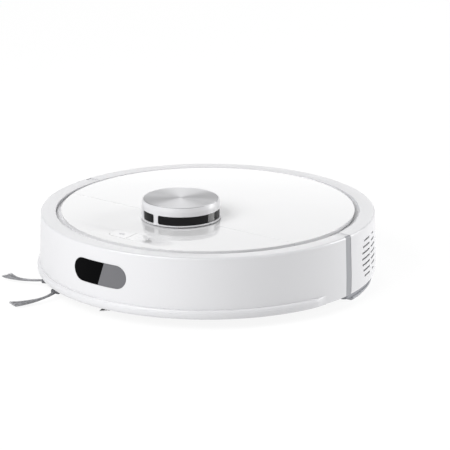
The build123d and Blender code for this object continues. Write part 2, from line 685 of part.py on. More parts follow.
def brush_fins():
    """Six rubber fins that wind along the roller in a shallow V."""
    fins = cross_rod(BRUSH_CORE_R + 1.6, BRUSH_Y, BRUSH_Z, -BRUSH_X + 2.2, BRUSH_X - 2.2)
    fins -= cross_rod(BRUSH_CORE_R, BRUSH_Y, BRUSH_Z, -BRUSH_X, BRUSH_X)
    half = BRUSH_X - 2.4
    bars = 7
    for fin in range(6):
        for bar in range(bars):
            middle = (bar - (bars - 1) / 2) * 2 * half / bars
            turn = 60 * fin + 26 * abs(middle) / half
            x0, x1 = middle - half / bars - 0.01, middle + half / bars + 0.01
            blade = block(x0, x1, BRUSH_CORE_R + 0.6, BRUSH_R, -1.0, 1.0)
            fins += Pos(0, BRUSH_Y, BRUSH_Z) * Rot(turn, 0, 0) * blade
    return fins


def brush_gearbox():
    """Open-sided case round the three gears that drive the main brush."""
    centres = gear_centres()
    circles = Sketch()
    for (y, z), r in zip(centres, (10.5, 16.5, 7.5)):
        circles += Pos(y, z) * Circle(r)
    whole = make_hull(circles.edges())
    x0, x1 = GEAR_X - GEAR_T / 2 - 0.6, -CHAMBER_X - WELL_WALL - 0.1
    case = across(offset(whole, 1.6), x0, x1) - across(whole, x0 - 1, x1 - 1.4)
    (y, z), idler, pinion = centres
    case -= cross_rod(6.2, y, z, -95, -80)
    case -= cross_rod(2.2, pinion[0], pinion[1], -95, -80)
    case += cross_rod(2.0, idler[0], idler[1], x0 + 0.4, x1)
    return case & block(-99, -80, -60, 39, UNDERSIDE_Z + BASE_T, 60)


def brush_motor():
    """Motor of the main brush, beside the chamber, with its shaft."""
    y, z = gear_centres()[2]
    x1 = -CHAMBER_X - WELL_WALL
    can = cross_rod(11.5, y, z, x1 + 0.1, x1 + 34)
    return can + cross_rod(1.0, y, z, GEAR_X - GEAR_T / 2, x1 + 1)


def brush_cover():
    """Lift-off frame under the main brush, with two finger latches."""
    plate = upright(brush_opening(0.5), UNDERSIDE_Z + 0.1, UNDERSIDE_Z + BASE_T - 0.1)
    plate -= upright(Pos(0, BRUSH_Y) * RectangleRounded(2 * (BRUSH_X + 1.4), 2 * 20.6, 3), 0, 20)
    for side in (-1, 1):
        x = side * 50
        plate += block(x - 9, x + 9, BRUSH_Y + 22.2, BRUSH_Y + 24.8, UNDERSIDE_Z - 0.9, UNDERSIDE_Z + 0.2)
    return plate


# ------------------------------------------------------------------ side brush
def side_brush_gearbox():
    """Sealed gearbox and motor of the side brush, with its output shaft."""
    box = post(17, SIDE_X, SIDE_Y, 14, 32) + post(10, SIDE_X, SIDE_Y, 32, 52)
    return box + post(7.0, SIDE_X, SIDE_Y, 11.2, 14) + post(SIDE_SHAFT_R, SIDE_X, SIDE_Y, 6.2, 12)


def side_brush_hub():
    """Moulded hub of the side brush with its screw-head boss."""
    z0, z1 = 4.6, 10.4
    points = [(0, z0), (6, z0), (SIDE_HUB_R, z0 + 2.2), (SIDE_HUB_R, z1), (0, z1)]
    hub = Pos(SIDE_X, SIDE_Y, 0) * turned(outline(points, [(2, 1.0), (3, 0.6)]))
    return hub - post(SIDE_SHAFT_R, SIDE_X, SIDE_Y, 6.2, 12)


def side_arm_directions():
    """Directions of the side brush's arms, from +X towards +Y."""
    return [SIDE_FIRST_DEG + 360 / SIDE_ARMS * arm for arm in range(SIDE_ARMS)]


def side_brush_arms():
    """Rubber arms that end in the blocks holding the tufts."""
    arms = []
    for turn in side_arm_directions():
        arm = block(SIDE_HUB_R - 0.6, SIDE_BLOCK_R, -2.6, 2.6, 5.6, 8.6)
        arm += block(SIDE_BLOCK_R - 4, SIDE_BLOCK_R + 4, -5.0, 5.0, 4.8, 8.8)
        arm -= Cylinder(SIDE_HUB_R, 40)
        arms.append(Pos(SIDE_X, SIDE_Y, 0) * Rot(0, 0, turn) * arm)
    return Compound(children=arms)


def side_brush_bristles():
    """One thin fan of bristles from each block, curving back as it reaches the tip."""
    root, tip = SIDE_BLOCK_R + 4.05, SIDE_TIP_R
    middle = (root + tip) / 2
    tufts = []
    for turn in side_arm_directions():
        drawn = [(root, -2.2), (middle, -8.5), (tip - 3, -22), (tip, -13), (middle + 2, -2), (root, 2.2)]
        fan = upright(outline(drawn, [(1, 20), (4, 20)]), 0, 1.2)
        tufts.append(Pos(SIDE_X, SIDE_Y, 6.2) * Rot(0, 0, turn) * Pos(root, 0, 0) * Rot(0, 5.2, 0)
                     * Pos(-root, 0, 0) * fan)
    return Compound(children=tufts)


# ------------------------------------------------------------------ dust and water
def tank_outline(inset):
    """Plan of the tank: straight sides and front, round back, drawn smaller by inset."""
    half = TANK_X - inset
    plan = Pos(0, 150) * Rectangle(2 * half, 2 * (150 - TANK_Y0 - inset)) & Circle(TANK_R - inset)
    return plan


def dust_tank():
    """Drawer with a dust room on the left and a water room on the right."""
    body = upright(tank_outline(0), TANK_Z0, 65.0)
    inner = upright(tank_outline(TANK_WALL), TANK_Z0 + TANK_WALL, 66)
    divider = block(TANK_SPLIT_X - TANK_WALL, TANK_SPLIT_X, 40, 175, 20, 70)
    body -= inner - divider
    pocket = block(-LATCH_X - 3, LATCH_X + 3, 160, 171, LATCH_Z0 - 3, LATCH_Z1 + 3)
    body += pocket & upright(tank_outline(0), TANK_Z0, 65)
    body -= block(-LATCH_X - 1.4, LATCH_X + 1.4, 161.6, 180, LATCH_Z0 - 1.4, LATCH_Z1 + 1.4)
    body -= block(-INLET_X, INLET_X, 40, TANK_Y0 + TANK_WALL + 0.1, INLET_Z0, INLET_Z1)
    body -= cross_rod(FAN_EYE_R, FAN_Y, FAN_Z, TANK_X - 3, TANK_X + 2)
    return body


def tank_lid():
    """Cover of the tank with the water filler's hole."""
    lid = upright(tank_outline(0), 65.1, TANK_Z1)
    lip = upright(tank_outline(TANK_WALL + 0.3), 62.5, 65.3) - upright(tank_outline(TANK_WALL + 1.6), 60, 66)
    lip -= block(TANK_SPLIT_X - 2.2, TANK_SPLIT_X + 0.4, 40, 175, 60, 65.05)
    funnel = post(11, *FILLER_XY, TANK_Z1 - 1.2, TANK_Z1) + post(8, *FILLER_XY, 60, 80)
    return lid + lip - funnel


def tank_rear_panel():
    """White outer wall of the tank, flush with the rear shell."""
    points = [
        (TANK_R + 0.05, TANK_Z0), (wall_at(TANK_Z0), TANK_Z0), (WALL_R, 33), (wall_at(TANK_Z1), TANK_Z1),
        (TANK_R + 0.05, TANK_Z1),
    ]
    panel = turned(outline(points), 120, 240) & block(-TANK_X, TANK_X, 100, 180, 20, 80)
    return panel - block(-LATCH_X - 1.0, LATCH_X + 1.0, 160, 180, LATCH_Z0 - 1.0, LATCH_Z1 + 1.0)


def tank_latch():
    """Press-in latch button in the middle of the tank's back."""
    face = Pos(0, (LATCH_Z0 + LATCH_Z1) / 2) * RectangleRounded(2 * LATCH_X, LATCH_Z1 - LATCH_Z0, 3)
    prism = extrude(Plane(origin=(0, 166, 0), x_dir=(-1, 0, 0), z_dir=(0, 1, 0)) * face, amount=12)
    return prism & post(173.6, 0, 0, 0, 90)


def bin_filter():
    """Pleated air filter over the dust room's outlet."""
    x1 = TANK_X - TANK_WALL - 0.05
    frame = block(x1 - 8, x1, FAN_Y - 16, FAN_Y + 16, 31, 60)
    for pleat in range(11):
        y = FAN_Y - 13 + pleat * 2.6
        frame -= block(x1 - 9, x1 - 4, y - 0.6, y + 0.6, 33, 58)
    return frame


def fan_housing():
    """Drum of the suction fan, open at its eye and round its motor."""
    drum = cross_rod(FAN_R, FAN_Y, FAN_Z, FAN_X0, FAN_X1)
    drum -= cross_rod(FAN_R - 1.8, FAN_Y, FAN_Z, FAN_X0 + 1.6, FAN_X1 + 1)
    drum -= cross_rod(FAN_EYE_R, FAN_Y, FAN_Z, FAN_X0 - 1, FAN_X0 + 2)
    for turn in range(0, 360, 90):
        rib = block(FAN_X1 - 3, FAN_X1, -1.2, 1.2, 12.1, FAN_R - 1)
        drum += Pos(0, FAN_Y, FAN_Z) * Rot(turn, 0, 0) * rib
    return drum


def fan_motor():
    """Fan motor with its shaft."""
    return cross_rod(12.0, FAN_Y, FAN_Z, FAN_X1 - 9, FAN_X1 + 2) + cross_rod(1.5, FAN_Y, FAN_Z, 119, FAN_X1)


def fan_impeller():
    """Backward-curved impeller."""
    wheel = cross_rod(21.5, FAN_Y, FAN_Z, 125.8, 127.4) + cross_rod(4.5, FAN_Y, FAN_Z, 119.4, 127.4)
    for blade in range(9):
        vane = Pos(0, 13.2, 0) * Rot(35, 0, 0) * block(119.4, 126, -6.8, 6.8, -0.6, 0.6)
        wheel += Pos(0, FAN_Y, FAN_Z) * Rot(40 * blade, 0, 0) * vane
    return wheel - cross_rod(1.5 + RUNNING, FAN_Y, FAN_Z, 110, 130)


def speaker():
    """Voice speaker in a small sealed box behind the right wheel."""
    box = block(-148, -120, 52, 84, 30, 52) + post(12, -134, 68, 52, 55)
    return box & post(168, 0, 0, 0, 80)


# ------------------------------------------------------------------ mop
def mop_outline(radius, inset):
    """Plan of the mop: a wide D whose horns reach forward outside the wheels."""
    inner = MOP_HORN_X + inset
    plan = Circle(radius - inset) & Pos(0, 100 + MOP_HORN_Y + inset) * Rectangle(400, 200)
    plan -= Pos(0, MOP_WAIST_Y + inset - 50) * Rectangle(2 * inner, 100)
    corners = [v for v in plan.vertices()]
    return fillet(corners, 5.0)


def mop_bracket():
    """Thin plate that carries the mop and slides off to the rear."""
    plate = upright(mop_outline(MOP_R, 1.2), MOP_PAD_Z1 + 0.1, MOP_PLATE_Z1)
    for x in (-90, -45, 0, 45, 90):
        plate -= upright(Pos(x, 105) * RectangleRounded(26, 70, 4), MOP_PLATE_Z1 - 1.6, 12)
    return plate


def mop_pad():
    """Plain closed solid of the damp mop cloth."""
    return upright(mop_outline(MOP_R, 0), MOP_PAD_Z0, MOP_PAD_Z1)


# ------------------------------------------------------------------ small fixed pieces
def battery_pack():
    """Eight cells in one shrink-wrapped block."""
    x0, x1, y0, y1, z0, z1 = BATTERY
    return fillet(block(x0, x1, y0, y1, z0, z1).edges().filter_by(Axis.Y), 6)


def battery_cover():
    """Hatch under the battery."""
    plate = upright(battery_opening(0.5), UNDERSIDE_Z + 0.1, UNDERSIDE_Z + BASE_T - 0.2)
    x0, x1, y0, y1 = BATTERY[:4]
    for x in (x0 + 8, x1 - 8):
        plate -= post(2.0, x, (y0 + y1) / 2, 0, 20)
    return plate


def button_board():
    """Small board with one press switch under each button."""
    x0, x1 = BUTTON_X0 - 4, BUTTON_X1 + 4
    y0, y1 = BUTTON_Y0 + 2, BUTTON_Y1 - 2
    board = block(x0, x1, y0, y1, 57.5, 59.1)
    for x in (BUTTON_X0 * 0.5, BUTTON_X1 * 0.5):
        y = (y0 + y1) / 2
        board += block(x - 3, x + 3, y - 3, y + 3, 59.1, 61.6) + post(1.7, x, y, 61.6, 62.4)
    return board


def main_board():
    """Main circuit board with its shielded processor and connectors."""
    x0, x1, y0, y1, z0, z1 = BOARD
    board = block(*BOARD)
    board += block(x0 + 14, x0 + 36, y0 + 20, y0 + 44, z1, z1 + 2.4)
    for row in range(4):
        x = x0 + 6 + row * 13
        board += block(x, x + 9, y0 + 3, y0 + 8, z1, z1 + 5)
    return board


def circuit_boards():
    """The main board and the button board."""
    return Compound(children=[main_board(), button_board()])


def charging_contacts():
    """Two plates at the back that meet the dock's pins."""
    plates = []
    for side in (-1, 1):
        x0, x1 = sorted((side * 38.3, side * 53.7))
        plate = block(x0, x1, 150, 180, 14.9, 24.1) & ring(171.5, 174.2, 10, 30, 150, 210)
        plates.append(plate)
    return Compound(children=plates)


def cliff_windows():
    """Clear windows of the four floor sensors."""
    return Compound(children=[post(5.1, x, y, UNDERSIDE_Z + 0.2, 15) for x, y in cliff_places()])


def base_screws():
    """Pan-head screws of the base."""
    screws = []
    for x, y in screw_places():
        screw = post(2.9, x, y, UNDERSIDE_Z + 0.2, UNDERSIDE_Z + 1.4) + post(1.5, x, y, UNDERSIDE_Z + 1.2, 22)
        screw -= block(x - 1.9, x + 1.9, y - 0.35, y + 0.35, 10, UNDERSIDE_Z + 0.8)
        screw -= block(x - 0.35, x + 0.35, y - 1.9, y + 1.9, 10, UNDERSIDE_Z + 0.8)
        screws.append(screw)
    return Compound(children=screws)


def nodes():
    """Every piece by its node name."""
    turns, centres = gear_turns(), gear_centres()
    gears = {
        "brush_gear": gear(BRUSH_TEETH, turns[0], *centres[0], 2.0),
        "idler_gear": gear(IDLER_TEETH, turns[1], *centres[1], 2.0 + RUNNING),
        "motor_pinion": gear(PINION_TEETH, turns[2], *centres[2], 1.0 + RUNNING),
    }
    left_wheel = {"wheel_arm": wheel_arm(), "wheel_axle": wheel_axle(), "wheel_hub": wheel_hub(),
                  "wheel_tyre": wheel_tyre()}
    wheels = {f"{name}_left": shape for name, shape in left_wheel.items()}
    wheels.update({f"{name}_right": mirrored(shape) for name, shape in left_wheel.items()})
    makers = (
        chassis_base, upper_housing, rear_shell, side_seals, top_cover_front, top_cover_rear,
        bumper_shell, bumper_lip, front_window_dark, front_window_grey,
        turret_base, turret_cap, turret_window, turret_disc, lds_base, lds_motor, lds_rotor,
        lds_pulley, lds_belt, caster_fork, caster_wheel, brush_core,
        brush_fins, brush_gearbox, brush_motor, brush_cover, side_brush_gearbox, side_brush_hub,
        side_brush_arms, side_brush_bristles, dust_tank, tank_lid, tank_rear_panel,
        tank_latch, bin_filter, fan_housing, fan_motor, fan_impeller, speaker, mop_bracket, mop_pad, battery_pack, battery_cover, circuit_boards, charging_contacts,
        cliff_windows, base_screws,
    )
    pieces = {maker.__name__: maker() for maker in makers}
    pieces["power_button"] = button(False)
    pieces["dock_button"] = button(True)
    return {**pieces, **gears, **wheels}


os.makedirs("parts", exist_ok=True)
for name, shape in nodes().items():
    export_step(shape, f"parts/{name}.step")
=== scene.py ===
"""Looks of a round robot vacuum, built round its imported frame."""

import json
import logging
from collections.abc import Callable, Sequence
from dataclasses import dataclass
from enum import Enum
from math import acos, asin, cos, degrees, pi, radians, sin, sqrt, tan

import bmesh
import bpy
from mathutils import Matrix, Vector
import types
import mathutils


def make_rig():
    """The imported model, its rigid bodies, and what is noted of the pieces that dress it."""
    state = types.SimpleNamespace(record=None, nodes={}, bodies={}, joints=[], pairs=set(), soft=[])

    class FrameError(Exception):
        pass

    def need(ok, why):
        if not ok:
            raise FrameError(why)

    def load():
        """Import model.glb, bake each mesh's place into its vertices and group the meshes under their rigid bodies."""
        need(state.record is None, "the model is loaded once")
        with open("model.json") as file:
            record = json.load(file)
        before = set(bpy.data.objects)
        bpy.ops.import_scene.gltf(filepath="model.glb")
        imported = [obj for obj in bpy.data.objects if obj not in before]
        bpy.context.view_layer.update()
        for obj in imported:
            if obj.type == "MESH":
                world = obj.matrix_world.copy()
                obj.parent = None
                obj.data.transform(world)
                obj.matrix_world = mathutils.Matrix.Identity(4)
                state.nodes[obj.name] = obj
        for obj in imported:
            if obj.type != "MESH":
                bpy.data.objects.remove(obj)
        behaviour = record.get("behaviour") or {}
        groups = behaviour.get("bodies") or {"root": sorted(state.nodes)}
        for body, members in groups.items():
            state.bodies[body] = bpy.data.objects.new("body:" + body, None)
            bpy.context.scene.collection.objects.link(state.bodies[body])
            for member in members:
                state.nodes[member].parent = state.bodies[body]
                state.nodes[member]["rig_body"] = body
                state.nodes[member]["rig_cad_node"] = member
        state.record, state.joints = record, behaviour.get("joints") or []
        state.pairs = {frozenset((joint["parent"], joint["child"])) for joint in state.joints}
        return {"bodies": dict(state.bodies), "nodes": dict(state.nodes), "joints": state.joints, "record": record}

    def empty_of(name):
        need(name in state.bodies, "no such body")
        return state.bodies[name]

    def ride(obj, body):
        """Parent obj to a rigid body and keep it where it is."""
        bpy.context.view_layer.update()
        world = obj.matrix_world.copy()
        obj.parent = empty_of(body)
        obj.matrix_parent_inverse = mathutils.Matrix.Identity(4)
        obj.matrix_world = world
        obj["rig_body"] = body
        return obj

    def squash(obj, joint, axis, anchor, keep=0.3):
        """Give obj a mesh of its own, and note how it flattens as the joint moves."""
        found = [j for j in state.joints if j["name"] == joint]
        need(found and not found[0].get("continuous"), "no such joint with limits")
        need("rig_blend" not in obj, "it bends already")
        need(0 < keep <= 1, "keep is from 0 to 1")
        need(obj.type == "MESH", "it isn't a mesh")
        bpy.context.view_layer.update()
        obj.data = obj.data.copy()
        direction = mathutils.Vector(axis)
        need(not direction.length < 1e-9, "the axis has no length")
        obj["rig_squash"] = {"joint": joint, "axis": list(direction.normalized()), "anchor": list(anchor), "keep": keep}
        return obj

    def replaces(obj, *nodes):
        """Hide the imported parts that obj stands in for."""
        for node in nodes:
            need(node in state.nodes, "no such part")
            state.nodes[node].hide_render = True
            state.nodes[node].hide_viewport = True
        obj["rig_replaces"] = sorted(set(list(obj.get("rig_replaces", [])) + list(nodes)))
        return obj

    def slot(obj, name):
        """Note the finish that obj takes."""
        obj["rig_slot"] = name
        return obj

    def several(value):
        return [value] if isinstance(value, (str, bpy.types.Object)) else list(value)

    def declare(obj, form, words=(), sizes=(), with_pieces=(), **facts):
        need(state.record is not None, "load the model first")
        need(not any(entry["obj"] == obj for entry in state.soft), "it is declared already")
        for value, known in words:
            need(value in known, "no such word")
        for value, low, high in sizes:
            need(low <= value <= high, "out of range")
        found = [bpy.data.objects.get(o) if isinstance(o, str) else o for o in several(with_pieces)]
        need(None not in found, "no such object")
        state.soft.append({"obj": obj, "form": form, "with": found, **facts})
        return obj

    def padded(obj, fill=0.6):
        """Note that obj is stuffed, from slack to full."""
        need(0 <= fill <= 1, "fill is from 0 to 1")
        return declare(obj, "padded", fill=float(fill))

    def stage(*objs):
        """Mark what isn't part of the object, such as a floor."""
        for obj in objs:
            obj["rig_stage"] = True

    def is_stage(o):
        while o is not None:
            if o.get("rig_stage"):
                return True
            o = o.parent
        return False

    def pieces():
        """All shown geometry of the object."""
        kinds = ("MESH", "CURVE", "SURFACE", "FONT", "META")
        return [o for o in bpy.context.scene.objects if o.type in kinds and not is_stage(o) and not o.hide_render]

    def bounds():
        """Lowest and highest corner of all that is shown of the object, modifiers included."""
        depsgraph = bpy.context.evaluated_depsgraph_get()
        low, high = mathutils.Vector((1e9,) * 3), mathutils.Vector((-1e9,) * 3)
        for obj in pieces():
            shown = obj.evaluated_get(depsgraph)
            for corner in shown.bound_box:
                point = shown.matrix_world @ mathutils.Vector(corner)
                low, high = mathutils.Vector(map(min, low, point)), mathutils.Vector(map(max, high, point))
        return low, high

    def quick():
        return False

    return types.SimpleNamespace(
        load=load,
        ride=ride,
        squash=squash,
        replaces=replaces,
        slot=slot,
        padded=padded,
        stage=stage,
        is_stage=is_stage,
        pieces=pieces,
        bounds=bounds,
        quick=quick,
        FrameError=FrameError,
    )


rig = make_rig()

LOG = logging.getLogger("robot_vacuum")
MM = 0.001
SIZE_FILE = "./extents.json"
GUARD = 0.3             # millimetres from a rounded corner to the loop that keeps its flat neighbour flat
Point = tuple[float, float]


# ---------------------------------------------------------------- colour and nodes
def linear(code: str) -> tuple[float, float, float, float]:
    """Turn an sRGB hex colour into linear RGBA.

    Args:
        code: Colour as six hex digits.

    Returns:
        Red, green, blue and an alpha of one.
    """
    parts = [int(code[i:i + 2], 16) / 255 for i in (0, 2, 4)]
    red, green, blue = (p / 12.92 if p <= 0.04045 else ((p + 0.055) / 1.055) ** 2.4 for p in parts)
    return red, green, blue, 1.0


def add(tree: bpy.types.NodeTree, kind: str, inputs: dict | None = None, **settings: object) -> bpy.types.Node:
    """Add one node, set its properties, and set or link its inputs.

    Args:
        tree: Tree that takes the node.
        kind: Blender's name of the node type.
        inputs: Input names or numbers, each with a value or an output socket.
        settings: Properties of the node.

    Returns:
        The new node.
    """
    made = tree.nodes.new(kind)
    for name, value in settings.items():
        setattr(made, name, value)
    for key, value in (inputs or {}).items():
        if isinstance(value, bpy.types.NodeSocket):
            tree.links.new(value, made.inputs[key])
        else:
            made.inputs[key].default_value = value
    return made


def new_material(name: str, **values: object) -> tuple[bpy.types.Material, bpy.types.NodeTree, bpy.types.Node]:
    """Start a material with one Principled shader.

    Args:
        name: Name of the material.
        values: Shader inputs, with spaces written as underscores.

    Returns:
        The material, its tree and its shader.
    """
    material = bpy.data.materials.new(name)
    material.use_nodes = True
    tree = material.node_tree
    tree.nodes.clear()
    inputs = {key.replace("_", " "): value for key, value in values.items()}
    shader = add(tree, "ShaderNodeBsdfPrincipled", inputs)
    add(tree, "ShaderNodeOutputMaterial", {"Surface": shader.outputs["BSDF"]})
    return material, tree, shader


def varied_colour(tree: bpy.types.NodeTree, shader: bpy.types.Node, low: str, high: str,
                  field_out: bpy.types.NodeSocket) -> None:
    """Drive a shader's colour between two colours by a pattern.

    Args:
        tree: Tree of the material.
        shader: Principled shader.
        low: Colour where the pattern is 0.
        high: Colour where the pattern is 1.
        field_out: Pattern's output.
    """
    mix = add(tree, "ShaderNodeMix", data_type="RGBA")
    mix.inputs[6].default_value = linear(low)
    mix.inputs[7].default_value = linear(high)
    tree.links.new(field_out, mix.inputs[0])
    tree.links.new(mix.outputs[2], shader.inputs["Base Color"])


# ---------------------------------------------------------------- finishes
@dataclass(frozen=True)
class MouldedPlastic:
    """Injection-moulded ABS or polycarbonate: even colour, a faint tool grain and a soft sheen.

    A real tool grain is 0.05 to 0.1 mm wide. It is drawn 0.3 to 2 mm wide, so that it shows at all.
    """

    name: str
    colour: str
    shade: str
    roughness: float
    grain_mm: float = 0.5
    grain_depth_mm: float = 0.004
    coat: float = 0.0
    specular: float = 0.5
    cloud_mm: float = 38.0

    def material(self) -> bpy.types.Material:
        """Build the material: two close tones, uneven gloss and grain."""
        material, tree, shader = new_material(
            self.name, Roughness=self.roughness, IOR=1.5, Coat_Weight=self.coat, Coat_Roughness=0.03,
            Specular_IOR_Level=self.specular)
        place = add(tree, "ShaderNodeTexCoord").outputs["Object"]
        cloud = add(tree, "ShaderNodeTexNoise", {"Vector": place, "Scale": 1 / (self.cloud_mm * MM),
                                                 "Detail": 3.0})
        varied_colour(tree, shader, self.shade, self.colour, cloud.outputs[0])
        gloss = add(tree, "ShaderNodeMapRange", {
            "Value": cloud.outputs[0], "To Min": self.roughness * 0.9, "To Max": self.roughness * 1.1})
        tree.links.new(gloss.outputs[0], shader.inputs["Roughness"])
        grain = add(tree, "ShaderNodeTexNoise", {"Vector": place, "Scale": 1 / (self.grain_mm * MM),
                                                 "Detail": 2.0})
        bump = add(tree, "ShaderNodeBump", {
            "Height": grain.outputs[0], "Distance": self.grain_depth_mm * MM, "Strength": 1.0})
        tree.links.new(bump.outputs[0], shader.inputs["Normal"])
        return material


@dataclass(frozen=True)
class SpunAluminium:
    """Spun and clear-anodised aluminium: fine turning rings that throw bright sectors.

    Real turning marks are about 0.1 mm apart. They are drawn 0.35 mm apart, so that they show.
    """

    name: str
    colour: str
    centre: tuple[float, float]
    groove: str = "a2a2a4"
    ring_mm: float = 0.35

    def material(self) -> bpy.types.Material:
        """Build the material with its highlight stretched round the turning centre."""
        material, tree, shader = new_material(self.name, Metallic=1.0, Roughness=0.34, Anisotropic=0.85)
        place = add(tree, "ShaderNodeTexCoord").outputs["Object"]
        moved = add(tree, "ShaderNodeVectorMath", {0: place, 1: (*self.centre, 0.0)}, operation="SUBTRACT")
        flat = add(tree, "ShaderNodeVectorMath", {0: moved.outputs[0], 1: (1.0, 1.0, 0.0)}, operation="MULTIPLY")
        tangent = add(tree, "ShaderNodeVectorMath", {0: (0.0, 0.0, 1.0), 1: flat.outputs[0]},
                      operation="CROSS_PRODUCT")
        along = add(tree, "ShaderNodeVectorMath", {0: tangent.outputs[0]}, operation="NORMALIZE")
        tree.links.new(along.outputs[0], shader.inputs["Tangent"])
        radius = add(tree, "ShaderNodeVectorMath", {0: flat.outputs[0]}, operation="LENGTH")
        rings = add(tree, "ShaderNodeTexNoise", {"W": radius.outputs["Value"], "Scale": 1 / (self.ring_mm * MM),
                                                 "Detail": 2.0}, noise_dimensions="1D")
        varied_colour(tree, shader, self.groove, self.colour, rings.outputs[0])
        bump = add(tree, "ShaderNodeBump", {"Height": rings.outputs[0], "Distance": 0.004 * MM, "Strength": 0.4})
        tree.links.new(bump.outputs[0], shader.inputs["Normal"])
        return material


@dataclass(frozen=True)
class SoftRubber:
    """Moulded rubber or soft TPU: matt, a little dusty in its hollows."""

    name: str
    colour: str
    dust: str
    roughness: float = 0.62

    def material(self) -> bpy.types.Material:
        """Build the material with a fine sparkle-free grain."""
        material, tree, shader = new_material(self.name, Roughness=self.roughness, IOR=1.52, Sheen_Weight=0.12)
        place = add(tree, "ShaderNodeTexCoord").outputs["Object"]
        cloud = add(tree, "ShaderNodeTexNoise", {"Vector": place, "Scale": 1 / (6 * MM), "Detail": 6.0,
                                                 "Roughness": 0.6})
        varied_colour(tree, shader, self.colour, self.dust, cloud.outputs[0])
        grain = add(tree, "ShaderNodeTexNoise", {"Vector": place, "Scale": 1 / (0.4 * MM), "Detail": 2.0})
        bump = add(tree, "ShaderNodeBump", {"Height": grain.outputs[0], "Distance": 0.02 * MM, "Strength": 0.6})
        tree.links.new(bump.outputs[0], shader.inputs["Normal"])
        return material


@dataclass(frozen=True)
class TintedPane:
    """Infrared-clear polycarbonate: looks like polished black glass."""

    name: str
    colour: str
    roughness: float = 0.06
    specular: float = 0.5
    deep: str = "050506"

    def material(self) -> bpy.types.Material:
        """Build the material with a very faint flow texture from moulding."""
        material, tree, shader = new_material(self.name, Roughness=self.roughness, IOR=1.58,
                                              Specular_IOR_Level=self.specular)
        place = add(tree, "ShaderNodeTexCoord").outputs["Object"]
        flow = add(tree, "ShaderNodeTexNoise", {"Vector": place, "Scale": 1 / (9 * MM), "Detail": 1.0})
        varied_colour(tree, shader, self.deep, self.colour, flow.outputs[0])
        bump = add(tree, "ShaderNodeBump", {"Height": flow.outputs[0], "Distance": 0.01 * MM, "Strength": 0.3})
        tree.links.new(bump.outputs[0], shader.inputs["Normal"])
        return material


@dataclass(frozen=True)
class MachinedMetal:
    """Plated or drawn metal: streaks along one way and a satin gleam."""

    name: str
    colour: str
    roughness: float
    streak: tuple[float, float, float] = (30.0, 1.0, 1.0)

    def material(self) -> bpy.types.Material:
        """Build the material with drawn streaks in gloss and height."""
        material, tree, shader = new_material(self.name, Metallic=1.0, Base_Color=linear(self.colour),
                                              Roughness=self.roughness)
        place = add(tree, "ShaderNodeTexCoord").outputs["Object"]
        drawn = add(tree, "ShaderNodeMapping", {"Vector": place, "Scale": self.streak})
        noise = add(tree, "ShaderNodeTexNoise", {"Vector": drawn.outputs[0], "Scale": 180.0, "Detail": 3.0})
        gloss = add(tree, "ShaderNodeMapRange", {
            "Value": noise.outputs[0], "To Min": self.roughness * 0.75, "To Max": self.roughness * 1.3})
        tree.links.new(gloss.outputs[0], shader.inputs["Roughness"])
        bump = add(tree, "ShaderNodeBump", {"Height": noise.outputs[0], "Distance": 0.01 * MM, "Strength": 0.5})
        tree.links.new(bump.outputs[0], shader.inputs["Normal"])
        return material


@dataclass(frozen=True)
class MicrofibrePile:
    """Damp microfibre pile: short curled loops in two greys with light flecks."""

    name: str
    colour: str
    fleck: str
    loop_mm: float = 1.1

    def material(self) -> bpy.types.Material:
        """Build the material: loops as cells, flecks as a second noise, and cloth sheen."""
        material, tree, shader = new_material(self.name, Roughness=0.92, IOR=1.45, Sheen_Weight=0.35,
                                              Sheen_Roughness=0.5)
        place = add(tree, "ShaderNodeTexCoord").outputs["Object"]
        loops = add(tree, "ShaderNodeTexVoronoi", {"Vector": place, "Scale": 1 / (self.loop_mm * MM)})
        flecks = add(tree, "ShaderNodeTexNoise", {"Vector": place, "Scale": 1 / (0.9 * MM), "Detail": 4.0})
        spots = add(tree, "ShaderNodeMapRange", {"Value": flecks.outputs[0], "From Min": 0.45, "From Max": 0.7})
        varied_colour(tree, shader, self.colour, self.fleck, spots.outputs[0])
        bump = add(tree, "ShaderNodeBump", {"Height": loops.outputs["Distance"], "Distance": 0.5 * MM,
                                            "Strength": 0.8}, invert=True)
        tree.links.new(bump.outputs[0], shader.inputs["Normal"])
        return material


@dataclass(frozen=True)
class PleatedFleece:
    """Filter fleece: off-white felted fibres."""

    name: str
    colour: str
    hollow: str = "c9c7be"

    def material(self) -> bpy.types.Material:
        """Build the material with a felted fibre bump."""
        material, tree, shader = new_material(self.name, Roughness=0.95, Sheen_Weight=0.3)
        place = add(tree, "ShaderNodeTexCoord").outputs["Object"]
        fibres = add(tree, "ShaderNodeTexNoise", {"Vector": place, "Scale": 1 / (0.7 * MM), "Detail": 6.0,
                                                  "Distortion": 1.5})
        varied_colour(tree, shader, self.hollow, self.colour, fibres.outputs[0])
        bump = add(tree, "ShaderNodeBump", {"Height": fibres.outputs[0], "Distance": 0.1 * MM, "Strength": 0.7})
        tree.links.new(bump.outputs[0], shader.inputs["Normal"])
        return material


@dataclass(frozen=True)
class SolderMask:
    """Circuit board lacquer: green gloss over the copper's faint traces."""

    name: str
    colour: str
    track: str = "0c3d20"

    def material(self) -> bpy.types.Material:
        """Build the material with tracks as a brick-like pattern."""
        material, tree, shader = new_material(self.name, Roughness=0.3, IOR=1.5, Coat_Weight=0.4)
        place = add(tree, "ShaderNodeTexCoord").outputs["Object"]
        tracks = add(tree, "ShaderNodeTexBrick", {"Vector": place, "Scale": 1 / (6 * MM), "Mortar Size": 0.06})
        varied_colour(tree, shader, self.track, self.colour, tracks.outputs["Fac"])
        return material


